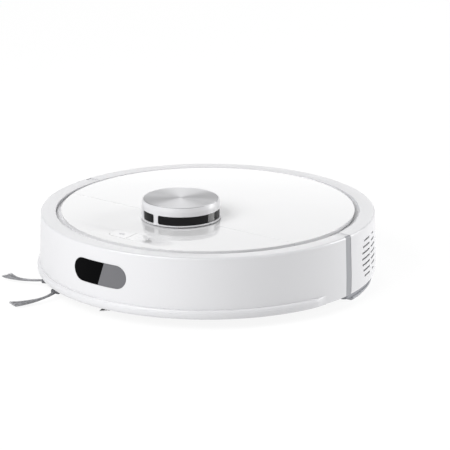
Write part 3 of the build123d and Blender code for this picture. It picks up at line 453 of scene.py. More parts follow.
class Palette:
    """All finishes of the robot, made once and looked up by a maker's word."""

    def __init__(self, turret_centre: tuple[float, float]) -> None:
        """Build every material.

        Args:
            turret_centre: X and Y of the turret's axis, in metres.
        """
        finishes = {
            "gloss_white": MouldedPlastic("abs_white_polished", "d6d6d7", "d4d4d5", 0.03, 2.0, 0.0003, coat=0.35),
            "shell_white": MouldedPlastic("abs_white_satin", "d4d4d6", "d2d2d4", 0.32, 0.6, 0.002),
            "lip_white": MouldedPlastic("tpu_white_satin", "d3d3d5", "d1d1d3", 0.42, 0.5, 0.003),
            "frame_grey": MouldedPlastic("abs_grey_matt", "dcdcde", "d8d8da", 0.55, 0.5, 0.006),
            "base_grey": MouldedPlastic("abs_charcoal_spark_eroded", "3b3c40", "333438", 0.6, 0.7, 0.02),
            "foam_black": MouldedPlastic("pu_foam_charcoal", "2c2d30", "1c1d1f", 0.95, 1.2, 0.3),
            "hub_grey": MouldedPlastic("pp_grey_moulded", "8d8f94", "84868b", 0.5, 0.6, 0.008),
            "caster_black": MouldedPlastic("pom_black_turned", "2a2b2e", "232427", 0.3, 0.9, 0.004),
            "inner_black": MouldedPlastic("pa_black_moulded", "222326", "1b1c1f", 0.5, 0.8, 0.012),
            "gear_white": MouldedPlastic("pom_natural_moulded", "e8e5d9", "dedbcd", 0.4, 0.8, 0.004),
            "tank_smoke": MouldedPlastic("pc_smoke_moulded", "4a4c50", "3f4145", 0.14, 1.2, 0.003, coat=0.4),
            "wrap_blue": MouldedPlastic("pvc_shrink_wrap", "27406f", "203661", 0.35, 1.5, 0.02),
            "ink_grey": MouldedPlastic("ink_grey_printed", "d2d2d5", "cfcfd2", 0.5, 0.5, 0.002),
            "nylon": MouldedPlastic("nylon_bristle_grey", "a3a3a6", "8e8e92", 0.45, 0.3, 0.002),
            # The dark grey window half is a painted glare: grey paint that stands in for a reflection on the black
            # window.
            "pane_grey": MouldedPlastic("pc_dark_grey_satin", "6e6e71", "6a6a6d", 0.6, 0.6, 0.002, specular=0.1),
            "seal_grey": SoftRubber("tpe_grey_matt", "8e8f93", "96979b"),
            "arm_rubber": SoftRubber("tpu_dark_grey", "505155", "5b5c60"),
            "tyre_rubber": SoftRubber("sbr_tyre_black", "1f2022", "2b2c2e", 0.7),
            "fin_rubber": SoftRubber("tpu_fin_slate", "31343b", "3c3f46"),
            "pane_black": TintedPane("pc_infrared_black", "0e0e10", 0.08, 0.28),
            "pane_matt": TintedPane("pc_infrared_black_matt", "040405", 0.5, 0.02),
            "sensor_pane": TintedPane("pc_infrared_violet", "1a0f16", 0.1),
            "disc": SpunAluminium("aluminium_spun_anodised", "b9b9bb", turret_centre),
            "steel": MachinedMetal("steel_zinc_plated", "c4c6c9", 0.28),
            "can": MachinedMetal("steel_deep_drawn", "b0b2b5", 0.35),
            "contact": MachinedMetal("brass_nickel_plated", "d8cfb4", 0.22),
            "mop": MicrofibrePile("microfibre_pile_grey", "8c8d92", "cdced4"),
            "fleece": PleatedFleece("polyester_fleece_pleated", "e6e4dc"),
            "board": SolderMask("glass_epoxy_lacquered", "125c31"),
        }
        self.materials = {word: finish.material() for word, finish in finishes.items()}

    def __getitem__(self, word: str) -> bpy.types.Material:
        """Look up a material by its word."""
        return self.materials[word]

    def dress(self, piece: bpy.types.Object, *words: str) -> bpy.types.Object:
        """Give a piece its materials, one for each slot that its faces use."""
        piece.data.materials.clear()
        for word in words:
            piece.data.materials.append(self[word])
        return piece


# ---------------------------------------------------------------- meshes
def around(radius: float, from_front_deg: float) -> Point:
    """Point on a circle, by radius and angle from the front towards +X."""
    a = radians(from_front_deg)
    return radius * sin(a), -radius * cos(a)


def make_object(name: str, verts: Sequence, faces: Sequence, sharp_deg: float = 32.0) -> bpy.types.Object:
    """Make a closed mesh object with outward faces and smooth shading up to an angle.

    Args:
        name: Name of the object.
        verts: Points in millimetres.
        faces: Lists of point numbers.
        sharp_deg: Edges sharper than this stay crisp.

    Returns:
        The object, linked to the scene, with its mesh in metres.
    """
    mesh = bpy.data.meshes.new(name)
    mesh.from_pydata([(x * MM, y * MM, z * MM) for x, y, z in verts], [], faces)
    return finish_mesh(name, mesh, sharp_deg)


def finish_mesh(name: str, mesh: bpy.types.Mesh, sharp_deg: float = 32.0) -> bpy.types.Object:
    """Merge doubles, turn faces outwards, set shading and link the object.

    Args:
        name: Name of the object.
        mesh: Mesh in metres.
        sharp_deg: Edges sharper than this stay crisp.

    Returns:
        The object.
    """
    work = bmesh.new()
    work.from_mesh(mesh)
    bmesh.ops.remove_doubles(work, verts=work.verts, dist=2e-6)
    bmesh.ops.dissolve_degenerate(work, edges=work.edges, dist=1e-6)
    bmesh.ops.recalc_face_normals(work, faces=work.faces)
    work.to_mesh(mesh)
    work.free()
    mesh.shade_smooth()
    mesh.set_sharp_from_angle(angle=radians(sharp_deg))
    piece = bpy.data.objects.new(name, mesh)
    bpy.context.scene.collection.objects.link(piece)
    return piece


def rounded(points: Sequence[Point], radii: Sequence[float] | float, steps: int = 5,
            guard: float = GUARD) -> list[Point]:
    """Round the corners of a closed outline.

    Args:
        points: Corners in order.
        radii: One radius for all corners, or one for each.
        steps: Pieces in each rounded corner.
        guard: Distance of an extra point beside each arc, or 0 for none.

    Returns:
        The outline's points with its corners as arcs.
    """
    count = len(points)
    sizes = [radii] * count if isinstance(radii, (int, float)) else list(radii)
    out: list[Point] = []
    for i, here in enumerate(points):
        corner = Vector(here)
        back = Vector(points[i - 1]) - corner
        ahead = Vector(points[(i + 1) % count]) - corner
        if sizes[i] <= 0:
            out.append(tuple(here))
            continue
        turn = back.angle(ahead)
        cut = min(sizes[i] / tan(turn / 2), back.length * 0.49, ahead.length * 0.49)
        start, end = corner + back.normalized() * cut, corner + ahead.normalized() * cut
        if guard and back.length - cut > 4 * guard:
            before = start + back.normalized() * guard
            out.append((before.x, before.y))
        for step in range(steps + 1):
            t = step / steps
            spot = start * (1 - t) ** 2 + corner * 2 * t * (1 - t) + end * t ** 2
            out.append((spot.x, spot.y))
        if guard and ahead.length - cut > 4 * guard:
            after = end + ahead.normalized() * guard
            out.append((after.x, after.y))
    return out


def lathe(name: str, profile: Callable[[float], Sequence[Point]] | Sequence[Point], angles: Sequence[float],
          centre: Point = (0.0, 0.0), closed: bool = False, sharp_deg: float = 32.0) -> bpy.types.Object:
    """Sweep a closed (radius, height) outline round the vertical axis.

    Args:
        name: Name of the object.
        profile: The outline, or a function that gives it at an angle.
        angles: Angles from the front, in order.
        centre: X and Y of the axis, in millimetres.
        closed: True for a full turn.
        sharp_deg: Edges sharper than this stay crisp.

    Returns:
        The object.
    """
    verts, faces = [], []
    shape = profile if callable(profile) else (lambda _: profile)
    rows = [shape(a) for a in angles]
    count = len(rows[0])
    for a, row in zip(angles, rows):
        for r, z in row:
            x, y = around(r, a)
            verts.append((x + centre[0], y + centre[1], z))
    spans = len(angles) if closed else len(angles) - 1
    for i in range(spans):
        here, ahead = i * count, (i + 1) % len(angles) * count
        for k in range(count):
            nxt = (k + 1) % count
            faces.append((here + k, here + nxt, ahead + nxt, ahead + k))
    if not closed:
        faces.append(tuple(range(count)))
        faces.append(tuple((len(angles) - 1) * count + k for k in range(count)))
    return make_object(name, verts, faces, sharp_deg)


def steps_between(start: float, end: float, step: float) -> list[float]:
    """Evenly spaced values from start to end, both included."""
    count = max(1, round((end - start) / step))
    return [start + (end - start) * i / count for i in range(count + 1)]


def full_turn(step: float = 1.0) -> list[float]:
    """Angles of a full turn without the repeated last one."""
    return steps_between(-180, 180, step)[:-1]


def plate(name: str, loops: Sequence[Sequence[Point]], z0: float, z1: float, edge: float = 0.2,
          sharp_deg: float = 32.0) -> bpy.types.Object:
    """Make a flat plate with rounded rims from an outline and its holes.

    Args:
        name: Name of the object.
        loops: Outer outline first, then holes, in millimetres.
        z0: Underside.
        z1: Top.
        edge: Radius of the rims.
        sharp_deg: Edges sharper than this stay crisp.

    Returns:
        The object.
    """
    curve = bpy.data.curves.new(name, "CURVE")
    curve.dimensions = "2D"
    curve.fill_mode = "BOTH"
    curve.extrude = ((z1 - z0) / 2 - edge) * MM
    curve.bevel_depth = edge * MM
    curve.bevel_resolution = 3
    curve.offset = -edge * MM
    for loop in loops:
        spline = curve.splines.new("POLY")
        spline.points.add(len(loop) - 1)
        for spot, (x, y) in zip(spline.points, loop):
            spot.co = (x * MM, y * MM, 0, 1)
        spline.use_cyclic_u = True
    source = bpy.data.objects.new(name, curve)
    bpy.context.scene.collection.objects.link(source)
    bpy.context.view_layer.update()
    mesh = bpy.data.meshes.new_from_object(source.evaluated_get(bpy.context.evaluated_depsgraph_get()))
    bpy.data.objects.remove(source)
    mesh.transform(Matrix.Translation((0, 0, (z0 + z1) / 2 * MM)))
    piece = finish_mesh(name, mesh, sharp_deg)
    flat_rims(piece.data)
    return piece


def flat_rims(mesh: bpy.types.Mesh) -> None:
    """Mark the border of level faces sharp, so that they stay flat in the shading.

    Args:
        mesh: Mesh that is changed.
    """
    work = bmesh.new()
    work.from_mesh(mesh)
    for edge in work.edges:
        level = [abs(face.normal.z) > 0.9995 for face in edge.link_faces]
        if any(level) and not all(level):
            edge.smooth = False
    work.to_mesh(mesh)
    work.free()


def evaluated_mesh(piece: bpy.types.Object) -> bpy.types.Mesh:
    """Plain mesh of a piece with its modifiers applied."""
    bpy.context.view_layer.update()
    return bpy.data.meshes.new_from_object(piece.evaluated_get(bpy.context.evaluated_depsgraph_get()))


def carve(piece: bpy.types.Object, cutter: bpy.types.Object, keep: bool = False) -> bpy.types.Object:
    """Cut one piece with another, and drop the cutter.

    Args:
        piece: Piece to cut.
        cutter: Piece that cuts.
        keep: True keeps what both share, False what only the first has.

    Returns:
        The cut piece, under its old name.
    """
    modifier = piece.modifiers.new("carve", "BOOLEAN")
    modifier.operation = "INTERSECT" if keep else "DIFFERENCE"
    modifier.solver = "EXACT"
    modifier.object = cutter
    mesh = evaluated_mesh(piece)
    name = piece.name
    bpy.data.objects.remove(cutter)
    bpy.data.objects.remove(piece)
    mesh.name = name
    return finish_mesh(name, mesh)


def joined(name: str, pieces: Sequence[bpy.types.Object]) -> bpy.types.Object:
    """Join pieces into one object, keeping each face's material number.

    Args:
        name: Name of the new object.
        pieces: Objects that are used up.

    Returns:
        The new object.
    """
    work = bmesh.new()
    for piece in pieces:
        work.from_mesh(piece.data)
    mesh = bpy.data.meshes.new(name)
    work.to_mesh(mesh)
    work.free()
    for material in pieces[0].data.materials:
        mesh.materials.append(material)
    for piece in pieces:
        bpy.data.objects.remove(piece)
    return finish_mesh(name, mesh)


def placed(piece: bpy.types.Object, matrix: Matrix) -> bpy.types.Object:
    """Move a piece's mesh, leaving its object at the origin."""
    piece.data.transform(matrix)
    piece.data.update()
    return piece


# ---------------------------------------------------------------- geometry node trees
class RepeatTree:
    """A geometry node tree with named inputs that ends in realised, dressed mesh."""

    def __init__(self, name: str, inputs: dict[str, tuple[str, object]]) -> None:
        """Start the tree.

        Args:
            name: Name of the tree.
            inputs: Input names, each with a socket type and a default.
        """
        self.tree = bpy.data.node_groups.new(name, "GeometryNodeTree")
        self.tree.interface.new_socket(name="Geometry", in_out="OUTPUT", socket_type="NodeSocketGeometry")
        self.sockets = {}
        for label, (kind, value) in inputs.items():
            made = self.tree.interface.new_socket(name=label, in_out="INPUT", socket_type=kind)
            if value is not None:
                made.default_value = value
            self.sockets[label] = made.identifier
        self.entry = add(self.tree, "NodeGroupInput").outputs

    def add(self, kind: str, inputs: dict | None = None, **settings: object) -> bpy.types.Node:
        """Add one node to this tree."""
        return add(self.tree, kind, inputs, **settings)

    def finish(self, geometry: bpy.types.NodeSocket) -> None:
        """Realise the instances, set the material and close the tree."""
        real = self.add("GeometryNodeRealizeInstances", {"Geometry": geometry})
        dressed = self.add("GeometryNodeSetMaterial", {"Geometry": real.outputs[0],
                                                       "Material": self.entry["Material"]})
        self.add("NodeGroupOutput", {"Geometry": dressed.outputs[0]})

    def mesh(self, name: str, places: Sequence[Sequence[float]] = (), **values: object) -> bpy.types.Object:
        """Run the tree once and keep its result as a plain mesh object.

        Args:
            name: Name of the object.
            places: Points in millimetres, for a tree that takes geometry.
            values: Inputs, with spaces written as underscores.

        Returns:
            The object, with no modifier left on it.
        """
        points = bpy.data.meshes.new(name + "_carrier")
        points.from_pydata([(x * MM, y * MM, z * MM) for x, y, z in places], [], [])
        carrier = bpy.data.objects.new(name + "_carrier", points)
        bpy.context.scene.collection.objects.link(carrier)
        modifier = carrier.modifiers.new("repeat", "NODES")
        modifier.node_group = self.tree
        for label, value in values.items():
            modifier[self.sockets[label.replace("_", " ")]] = value
        mesh = evaluated_mesh(carrier)
        bpy.data.objects.remove(carrier)
        mesh.name = name
        return finish_mesh(name, mesh)


def bristle_tree() -> RepeatTree:
    """Tree of one tuft: bristles that leave a short row, sweep sideways and drop to the floor."""
    made = RepeatTree("bristle_tuft", {
        "Count": ("NodeSocketInt", 60), "Row": ("NodeSocketFloat", 5 * MM),
        "Reach": ("NodeSocketFloat", 48 * MM),
        "Sweep": ("NodeSocketFloat", 16 * MM), "Drop": ("NodeSocketFloat", 5 * MM),
        "Thickness": ("NodeSocketFloat", 0.2 * MM), "Spread": ("NodeSocketFloat", 0.06),
        "Fan": ("NodeSocketFloat", 12 * MM),
        "Seed": ("NodeSocketInt", 7), "Material": ("NodeSocketMaterial", None)})
    entry = made.entry

    scaled = {}
    for name, source, factor in (
            ("bend_x", "Reach", 0.62), ("bend_y", "Sweep", 0.22), ("bend_z", "Drop", -0.5),
            ("tip_y", "Sweep", -1.0), ("tip_z", "Drop", -1.0), ("row_start", "Row", -0.5),
            ("low_x", "Spread", -0.35), ("low_y", "Spread", -0.1), ("low_z", "Spread", -1.0),
            ("high_x", "Spread", 0.35), ("high_y", "Spread", 0.1)):
        product = made.add("ShaderNodeMath", {0: entry[source], 1: factor}, operation="MULTIPLY")
        scaled[name] = product.outputs[0]
    vectors = {}
    for name, parts in (
            ("bend", (scaled["bend_x"], scaled["bend_y"], scaled["bend_z"])),
            ("tip", (entry["Reach"], scaled["tip_y"], scaled["tip_z"])),
            ("row_start", (0.0, scaled["row_start"], 0.0)), ("row_end", (0.0, entry["Row"], 0.0)),
            ("low", (scaled["low_x"], scaled["low_y"], scaled["low_z"])),
            ("high", (scaled["high_x"], scaled["high_y"], entry["Spread"]))):
        vectors[name] = made.add("ShaderNodeCombineXYZ", dict(enumerate(parts))).outputs[0]
    path = made.add("GeometryNodeCurveQuadraticBezier", {
        "Resolution": 9, "Start": (0.0, 0.0, 0.0), "Middle": vectors["bend"], "End": vectors["tip"]})
    section = made.add("GeometryNodeCurvePrimitiveCircle", {"Resolution": 4, "Radius": entry["Thickness"]},
                       mode="RADIUS")
    bristle = made.add("GeometryNodeCurveToMesh", {
        "Curve": path.outputs[0], "Profile Curve": section.outputs[0], "Fill Caps": True})
    row = made.add("GeometryNodeMeshLine", {
        "Count": entry["Count"], "Start Location": vectors["row_start"], "Offset": vectors["row_end"]},
        mode="END_POINTS")
    jitter = made.add("FunctionNodeRandomValue", {"Seed": entry["Seed"]}, data_type="FLOAT_VECTOR")
    jitter.inputs[0].default_value = (-0.5 * MM, -0.3 * MM, -0.9 * MM)
    jitter.inputs[1].default_value = (0.5 * MM, 0.3 * MM, 0.9 * MM)
    shaken = made.add("GeometryNodeSetPosition", {"Geometry": row.outputs[0], "Offset": jitter.outputs[0]})
    turn = made.add("FunctionNodeRandomValue", {"Seed": entry["Seed"]}, data_type="FLOAT_VECTOR")
    made.tree.links.new(vectors["low"], turn.inputs[0])
    made.tree.links.new(vectors["high"], turn.inputs[1])
    size = made.add("FunctionNodeRandomValue", {"Seed": entry["Seed"]}, data_type="FLOAT")
    size.inputs[2].default_value = 0.97
    size.inputs[3].default_value = 1.0
    lean = made.add("FunctionNodeRandomValue", {"Seed": entry["Seed"]}, data_type="FLOAT")
    lean.inputs[2].default_value = -0.5
    lean.inputs[3].default_value = 0.5
    marked = made.add("GeometryNodeStoreNamedAttribute", {
        "Geometry": shaken.outputs[0], "Name": "lean", "Value": lean.outputs[1]},
        data_type="FLOAT", domain="POINT")
    tuft = made.add("GeometryNodeInstanceOnPoints", {
        "Points": marked.outputs[0], "Instance": bristle.outputs[0], "Rotation": turn.outputs[0],
        "Scale": size.outputs[1]})
    real = made.add("GeometryNodeRealizeInstances", {"Geometry": tuft.outputs[0]})
    along = made.add("ShaderNodeSeparateXYZ", {0: made.add("GeometryNodeInputPosition").outputs[0]}).outputs[0]
    share = made.add("ShaderNodeMath", {0: along, 1: entry["Reach"]}, operation="DIVIDE").outputs[0]
    share = made.add("ShaderNodeMath", {0: share, 1: 0.0}, operation="MAXIMUM").outputs[0]
    curve = made.add("ShaderNodeMath", {0: share, 1: 2.2}, operation="POWER").outputs[0]
    side = made.add("GeometryNodeInputNamedAttribute", {"Name": "lean"}, data_type="FLOAT").outputs[0]
    width = made.add("ShaderNodeMath", {0: entry["Fan"], 1: side}, operation="MULTIPLY").outputs[0]
    aside = made.add("ShaderNodeMath", {0: width, 1: curve}, operation="MULTIPLY").outputs[0]
    back = made.add("ShaderNodeMath", {0: aside, 1: 0.35}, operation="MULTIPLY").outputs[0]
    shift = made.add("ShaderNodeCombineXYZ", {0: back, 1: aside})
    fanned = made.add("GeometryNodeSetPosition", {"Geometry": real.outputs[0], "Offset": shift.outputs[0]})
    made.finish(fanned.outputs[0])
    return made


def ring_tree() -> RepeatTree:
    """Tree that sets tread lugs round a circle in the YZ plane."""
    made = RepeatTree("lugs_on_ring", {
        "Count": ("NodeSocketInt", 24), "Radius": ("NodeSocketFloat", 32 * MM),
        "Lug": ("NodeSocketObject", None), "Material": ("NodeSocketMaterial", None)})
    entry = made.entry
    lug = made.add("GeometryNodeObjectInfo", {"Object": entry["Lug"]})
    circle = made.add("GeometryNodeMeshCircle", {"Vertices": entry["Count"], "Radius": entry["Radius"]})
    stood = made.add("GeometryNodeTransform", {"Geometry": circle.outputs[0], "Rotation": (0.0, pi / 2, 0.0)})
    place = made.add("ShaderNodeSeparateXYZ", {0: made.add("GeometryNodeInputPosition").outputs[0]})
    angle = made.add("ShaderNodeMath", {0: place.outputs[1], 1: place.outputs[2]}, operation="ARCTAN2")
    lean = made.add("ShaderNodeMath", {0: angle.outputs[0], 1: -1.0}, operation="MULTIPLY")
    turn = made.add("ShaderNodeCombineXYZ", {0: lean.outputs[0]})
    lugs = made.add("GeometryNodeInstanceOnPoints", {
        "Points": stood.outputs[0], "Instance": lug.outputs["Geometry"], "Rotation": turn.outputs[0]})
    made.finish(lugs.outputs[0])
    return made


def slot_tree() -> RepeatTree:
    """Tree that stacks cutter blocks into a column whose ends step back from the middle row."""
    made = RepeatTree("slot_column", {
        "Count": ("NodeSocketInt", 7), "Pitch": ("NodeSocketFloat", 6.25 * MM),
        "Slot": ("NodeSocketVector", (20 * MM, 12 * MM, 1.4 * MM)), "Bow near": ("NodeSocketFloat", 0.0),
        "Bow far": ("NodeSocketFloat", 0.0), "Material": ("NodeSocketMaterial", None)})
    entry = made.entry

    block = made.add("GeometryNodeMeshCube", {"Size": entry["Slot"]})
    step = made.add("ShaderNodeCombineXYZ", {2: entry["Pitch"]})
    column = made.add("GeometryNodeMeshLine", {"Count": entry["Count"], "Offset": step.outputs[0]})
    known = {"count": entry["Count"], "near_bow": entry["Bow near"], "far_bow": entry["Bow far"],
             "index": made.add("GeometryNodeInputIndex").outputs[0],
             "length": made.add("ShaderNodeSeparateXYZ", {0: entry["Slot"]}).outputs[0]}
    for name, operation, first, second in (
            ("last", "SUBTRACT", "count", 1.0), ("middle", "DIVIDE", "last", 2.0),
            ("centred", "SUBTRACT", "index", "middle"), ("bow", "MULTIPLY", "centred", "centred"),
            ("near", "MULTIPLY", "bow", "near_bow"), ("far", "MULTIPLY", "bow", "far_bow"),
            ("cut", "ADD", "near", "far"), ("left", "SUBTRACT", "length", "cut"),
            ("share", "DIVIDE", "left", "length"), ("uneven", "SUBTRACT", "near", "far"),
            ("shift", "DIVIDE", "uneven", 2.0)):
        step_of_sum = made.add("ShaderNodeMath", {0: known[first], 1: known.get(second, second)},
                               operation=operation)
        known[name] = step_of_sum.outputs[0]
    size = made.add("ShaderNodeCombineXYZ", {0: known["share"], 1: 1.0, 2: 1.0})
    shift = made.add("ShaderNodeCombineXYZ", {0: known["shift"]})
    moved = made.add("GeometryNodeSetPosition", {"Geometry": column.outputs[0], "Offset": shift.outputs[0]})
    slots = made.add("GeometryNodeInstanceOnPoints", {
        "Points": moved.outputs[0], "Instance": block.outputs[0], "Scale": size.outputs[0]})
    made.finish(slots.outputs[0])
    return made


def scatter_tree() -> RepeatTree:
    """Tree that sets one screw head on each point, turned at random about its own axis."""
    made = RepeatTree("screws_on_points", {
        "Geometry": ("NodeSocketGeometry", None), "Screw": ("NodeSocketObject", None),
        "Seed": ("NodeSocketInt", 3), "Material": ("NodeSocketMaterial", None)})
    head = made.add("GeometryNodeObjectInfo", {"Object": made.entry["Screw"]})
    angle = made.add("FunctionNodeRandomValue", {"Seed": made.entry["Seed"]}, data_type="FLOAT")
    angle.inputs[2].default_value = 0.0
    angle.inputs[3].default_value = 2 * pi
    turn = made.add("ShaderNodeCombineXYZ", {2: angle.outputs[1]})
    screws = made.add("GeometryNodeInstanceOnPoints", {
        "Points": made.entry["Geometry"], "Instance": head.outputs["Geometry"], "Rotation": turn.outputs[0]})
    made.finish(screws.outputs[0])
    return made


# ---------------------------------------------------------------- how a piece joins the frame
@dataclass
class Piece:
    """A finished visual piece and its place in the frame."""

    item: bpy.types.Object
    body: str
    slot: str
    stands_for: tuple[str, ...] = ()

    def install(self) -> bpy.types.Object:
        """Fix the piece to its body, hide what it stands for and report it."""
        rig.ride(self.item, self.body)
        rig.slot(self.item, self.slot)
        if self.stands_for:
            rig.replaces(self.item, *self.stands_for)
        LOG.info("%s: %d faces on body %s", self.item.name, len(self.item.data.polygons), self.body)
        return self.item


class Side(Enum):
    """The robot's two sides."""

    LEFT = 1
    RIGHT = -1

    @property
    def word(self) -> str:
        """The side's word in node and body names."""
        return self.name.lower()


# ---------------------------------------------------------------- round shells
@dataclass
class WallSection:
    """Section of the side wall and the crowned ring that it turns over into, in millimetres."""

    foot_z: float = 12.2
    foot_bevel: float = 0.6
    wall_r: float = 174.9
    bend_z: float = 33.0
    top_r: float = 173.5
    thickness: float = 2.4
    rim_z: float = 75.0
    rim_in_r: float = 158.0
    corner_r: float = 3.4
    crown: float = 0.55
    inset: float = 0.0

    def outline(self) -> list[Point]:
        """Closed (radius, height) outline."""
        inner = self.wall_r - self.thickness
        bevel, inset = self.foot_bevel, self.inset
        crown_r = self.top_r - self.corner_r
        ring = []
        for step in range(1, 8):
            t = step / 8
            r = crown_r + (self.rim_in_r + 1.0 - crown_r) * t
            ring.append((r, self.rim_z + self.crown * (1 - (2 * t - 0.85) ** 2 / 1.32) * 0.75 - inset))
        wall = [(inner, self.foot_z), (self.wall_r - bevel - inset, self.foot_z),
                (self.wall_r - inset, self.foot_z + 2.2 * bevel), (self.wall_r - inset, self.bend_z),
                (self.top_r - inset, self.rim_z + 0.1 - inset)]
        inside = [(self.rim_in_r, self.rim_z - inset), (self.rim_in_r, self.rim_z - 3.2),
                  (self.rim_in_r + 2, self.rim_z - 3.2), (self.rim_in_r + 2, self.rim_z - 2),
                  (self.top_r - 5, self.rim_z - 2), (self.top_r - self.thickness, self.rim_z - 5),
                  (inner, self.bend_z)]
        points = wall + ring + inside
        radii = [0.3, 0.5, 0.6, 30.0, self.corner_r] + [0.0] * len(ring) + [0.5] + [0.2] * 2 + [0.0] * 4
        return rounded(points, radii, 6)


def pill(x0: float, x1: float, z: float, height: float, steps: int = 24) -> list[Point]:
    """Pill outline between two x places, centred on height z.

    Args:
        x0: Left end.
        x1: Right end.
        z: Middle height.
        height: Full height.
        steps: Pieces in each round end.

    Returns:
        The outline's points.
    """
    r = height / 2
    right = [(x1 - r + r * sin(pi * i / steps), z - r * cos(pi * i / steps)) for i in range(steps + 1)]
    left = [(x0 + r - r * sin(pi * i / steps), z + r * cos(pi * i / steps)) for i in range(steps + 1)]
    return right + left


def prism_y(name: str, outline: Sequence[Point], y0: float, y1: float) -> bpy.types.Object:
    """Prism along Y of an (x, z) outline.

    Args:
        name: Name of the object.
        outline: Points in millimetres.
        y0: One end.
        y1: Other end.

    Returns:
        The object.
    """
    count = len(outline)
    verts = [(x, y, z) for y in (y0, y1) for x, z in outline]
    faces = [tuple(range(count)), tuple(range(count, 2 * count))]
    faces += [(k, (k + 1) % count, count + (k + 1) % count, count + k) for k in range(count)]
    return make_object(name, verts, faces)


def box_piece(name: str, low: Sequence[float], high: Sequence[float]) -> bpy.types.Object:
    """Block used only to cut others."""
    verts = [(x, y, z) for x in (low[0], high[0]) for y in (low[1], high[1]) for z in (low[2], high[2])]
    faces = [(0, 1, 3, 2), (4, 6, 7, 5), (0, 4, 5, 1), (2, 3, 7, 6), (0, 2, 6, 4), (1, 5, 7, 3)]
    return make_object(name, verts, faces)


@dataclass
class FrontBumper:
    """Front wall and ring, the softer lip at its foot and the two-part front window, whose grey half is a painted
    glare.
    """

    end_deg: float = 91.5
    lip_end_deg: float = 81.0
    lip_fade_deg: float = 5.0
    lip_r: float = 174.93
    lip_z: tuple[float, float] = (12.0, 21.45)
    window_x: tuple[float, float] = (-37.11, 30.97)
    window_z: float = 47.4
    window_h: float = 24.4
    split_x: tuple[float, float] = (-3.7, 4.8)

    def wall(self, palette: Palette) -> Piece:
        """Build the wall with its window opening."""
        shell = lathe("front_wall", WallSection().outline(), steps_between(-self.end_deg, self.end_deg, 0.5))
        opening = pill(*self.window_x, self.window_z, self.window_h)
        shell = carve(shell, prism_y("window_cutter", opening, -185, -160))
        return Piece(palette.dress(shell, "shell_white"), "bumper", "white_shell", ("bumper_shell",))

    def lip_section(self, angle: float) -> list[Point]:
        """Section of the lip, which sinks into the wall near its ends.

        Args:
            angle: Angle from the front.

        Returns:
            The closed outline.
        """
        near = min(1.0, max(0.0, (self.lip_end_deg - abs(angle)) / self.lip_fade_deg))
        bulge = 0.06 + 0.94 * near * near * (3 - 2 * near)
        base, root = self.lip_r, self.lip_r - 0.4
        swell = [(1.3, 12.0), (2.35, 13.9), (2.95, 16.2), (3.1, 18.4), (2.55, 20.2), (1.75, 21.15)]
        points = [(base + out * bulge, z) for out, z in swell]
        points = [(root, self.lip_z[0])] + points + [(root, self.lip_z[1])]
        return rounded(points, [0.1, 0.5, 1.2, 1.6, 1.2, 1.0, 0.25, 0.1], 3, 0)

    def lip(self, palette: Palette) -> Piece:
        """Build the lip."""
        band = lathe("foot_lip", self.lip_section, steps_between(-self.lip_end_deg, self.lip_end_deg, 0.75))
        return Piece(palette.dress(band, "lip_white"), "bumper", "white_lip", ("bumper_lip",))

    def window(self, palette: Palette) -> list[Piece]:
        """Build the window's black half and its grey half, a painted glare, split along a slanted line."""
        low, high = self.window_z - self.window_h / 2, self.window_z + self.window_h / 2
        halves = []
        section = [(172.9, 32), (174.62, 32), (174.62, 63), (172.9, 63)]
        for name, far, word, slot, node in (
                ("infrared_pane", -60, "pane_matt", "black_window", "front_window_dark"),
                # The grey half is a painted reflection: it stands in for a glare across the black window.
                ("matt_pane", 60, "pane_grey", "grey_window", "front_window_grey")):
            pane = lathe(name, section, steps_between(-16, 16, 0.5))
            slim = pill(self.window_x[0] + 0.12, self.window_x[1] - 0.12, self.window_z, self.window_h - 0.24)
            pane = carve(pane, prism_y("pill_cutter", slim, -185, -160), keep=True)
            reach = 20 * (self.split_x[1] - self.split_x[0]) / self.window_h
            edge = [(self.split_x[0] - reach, low - 20), (far, low - 20), (far, high + 20),
                    (self.split_x[1] + reach, high + 20)]
            pane = carve(pane, prism_y("half_cutter", edge, -190, -150), keep=True)
            halves.append(Piece(palette.dress(pane, word), "bumper", slot, (node,)))
        return halves

    def build(self, palette: Palette) -> list[Piece]:
        """Build every piece of the bumper."""
        return [self.wall(palette), self.lip(palette), *self.window(palette)]


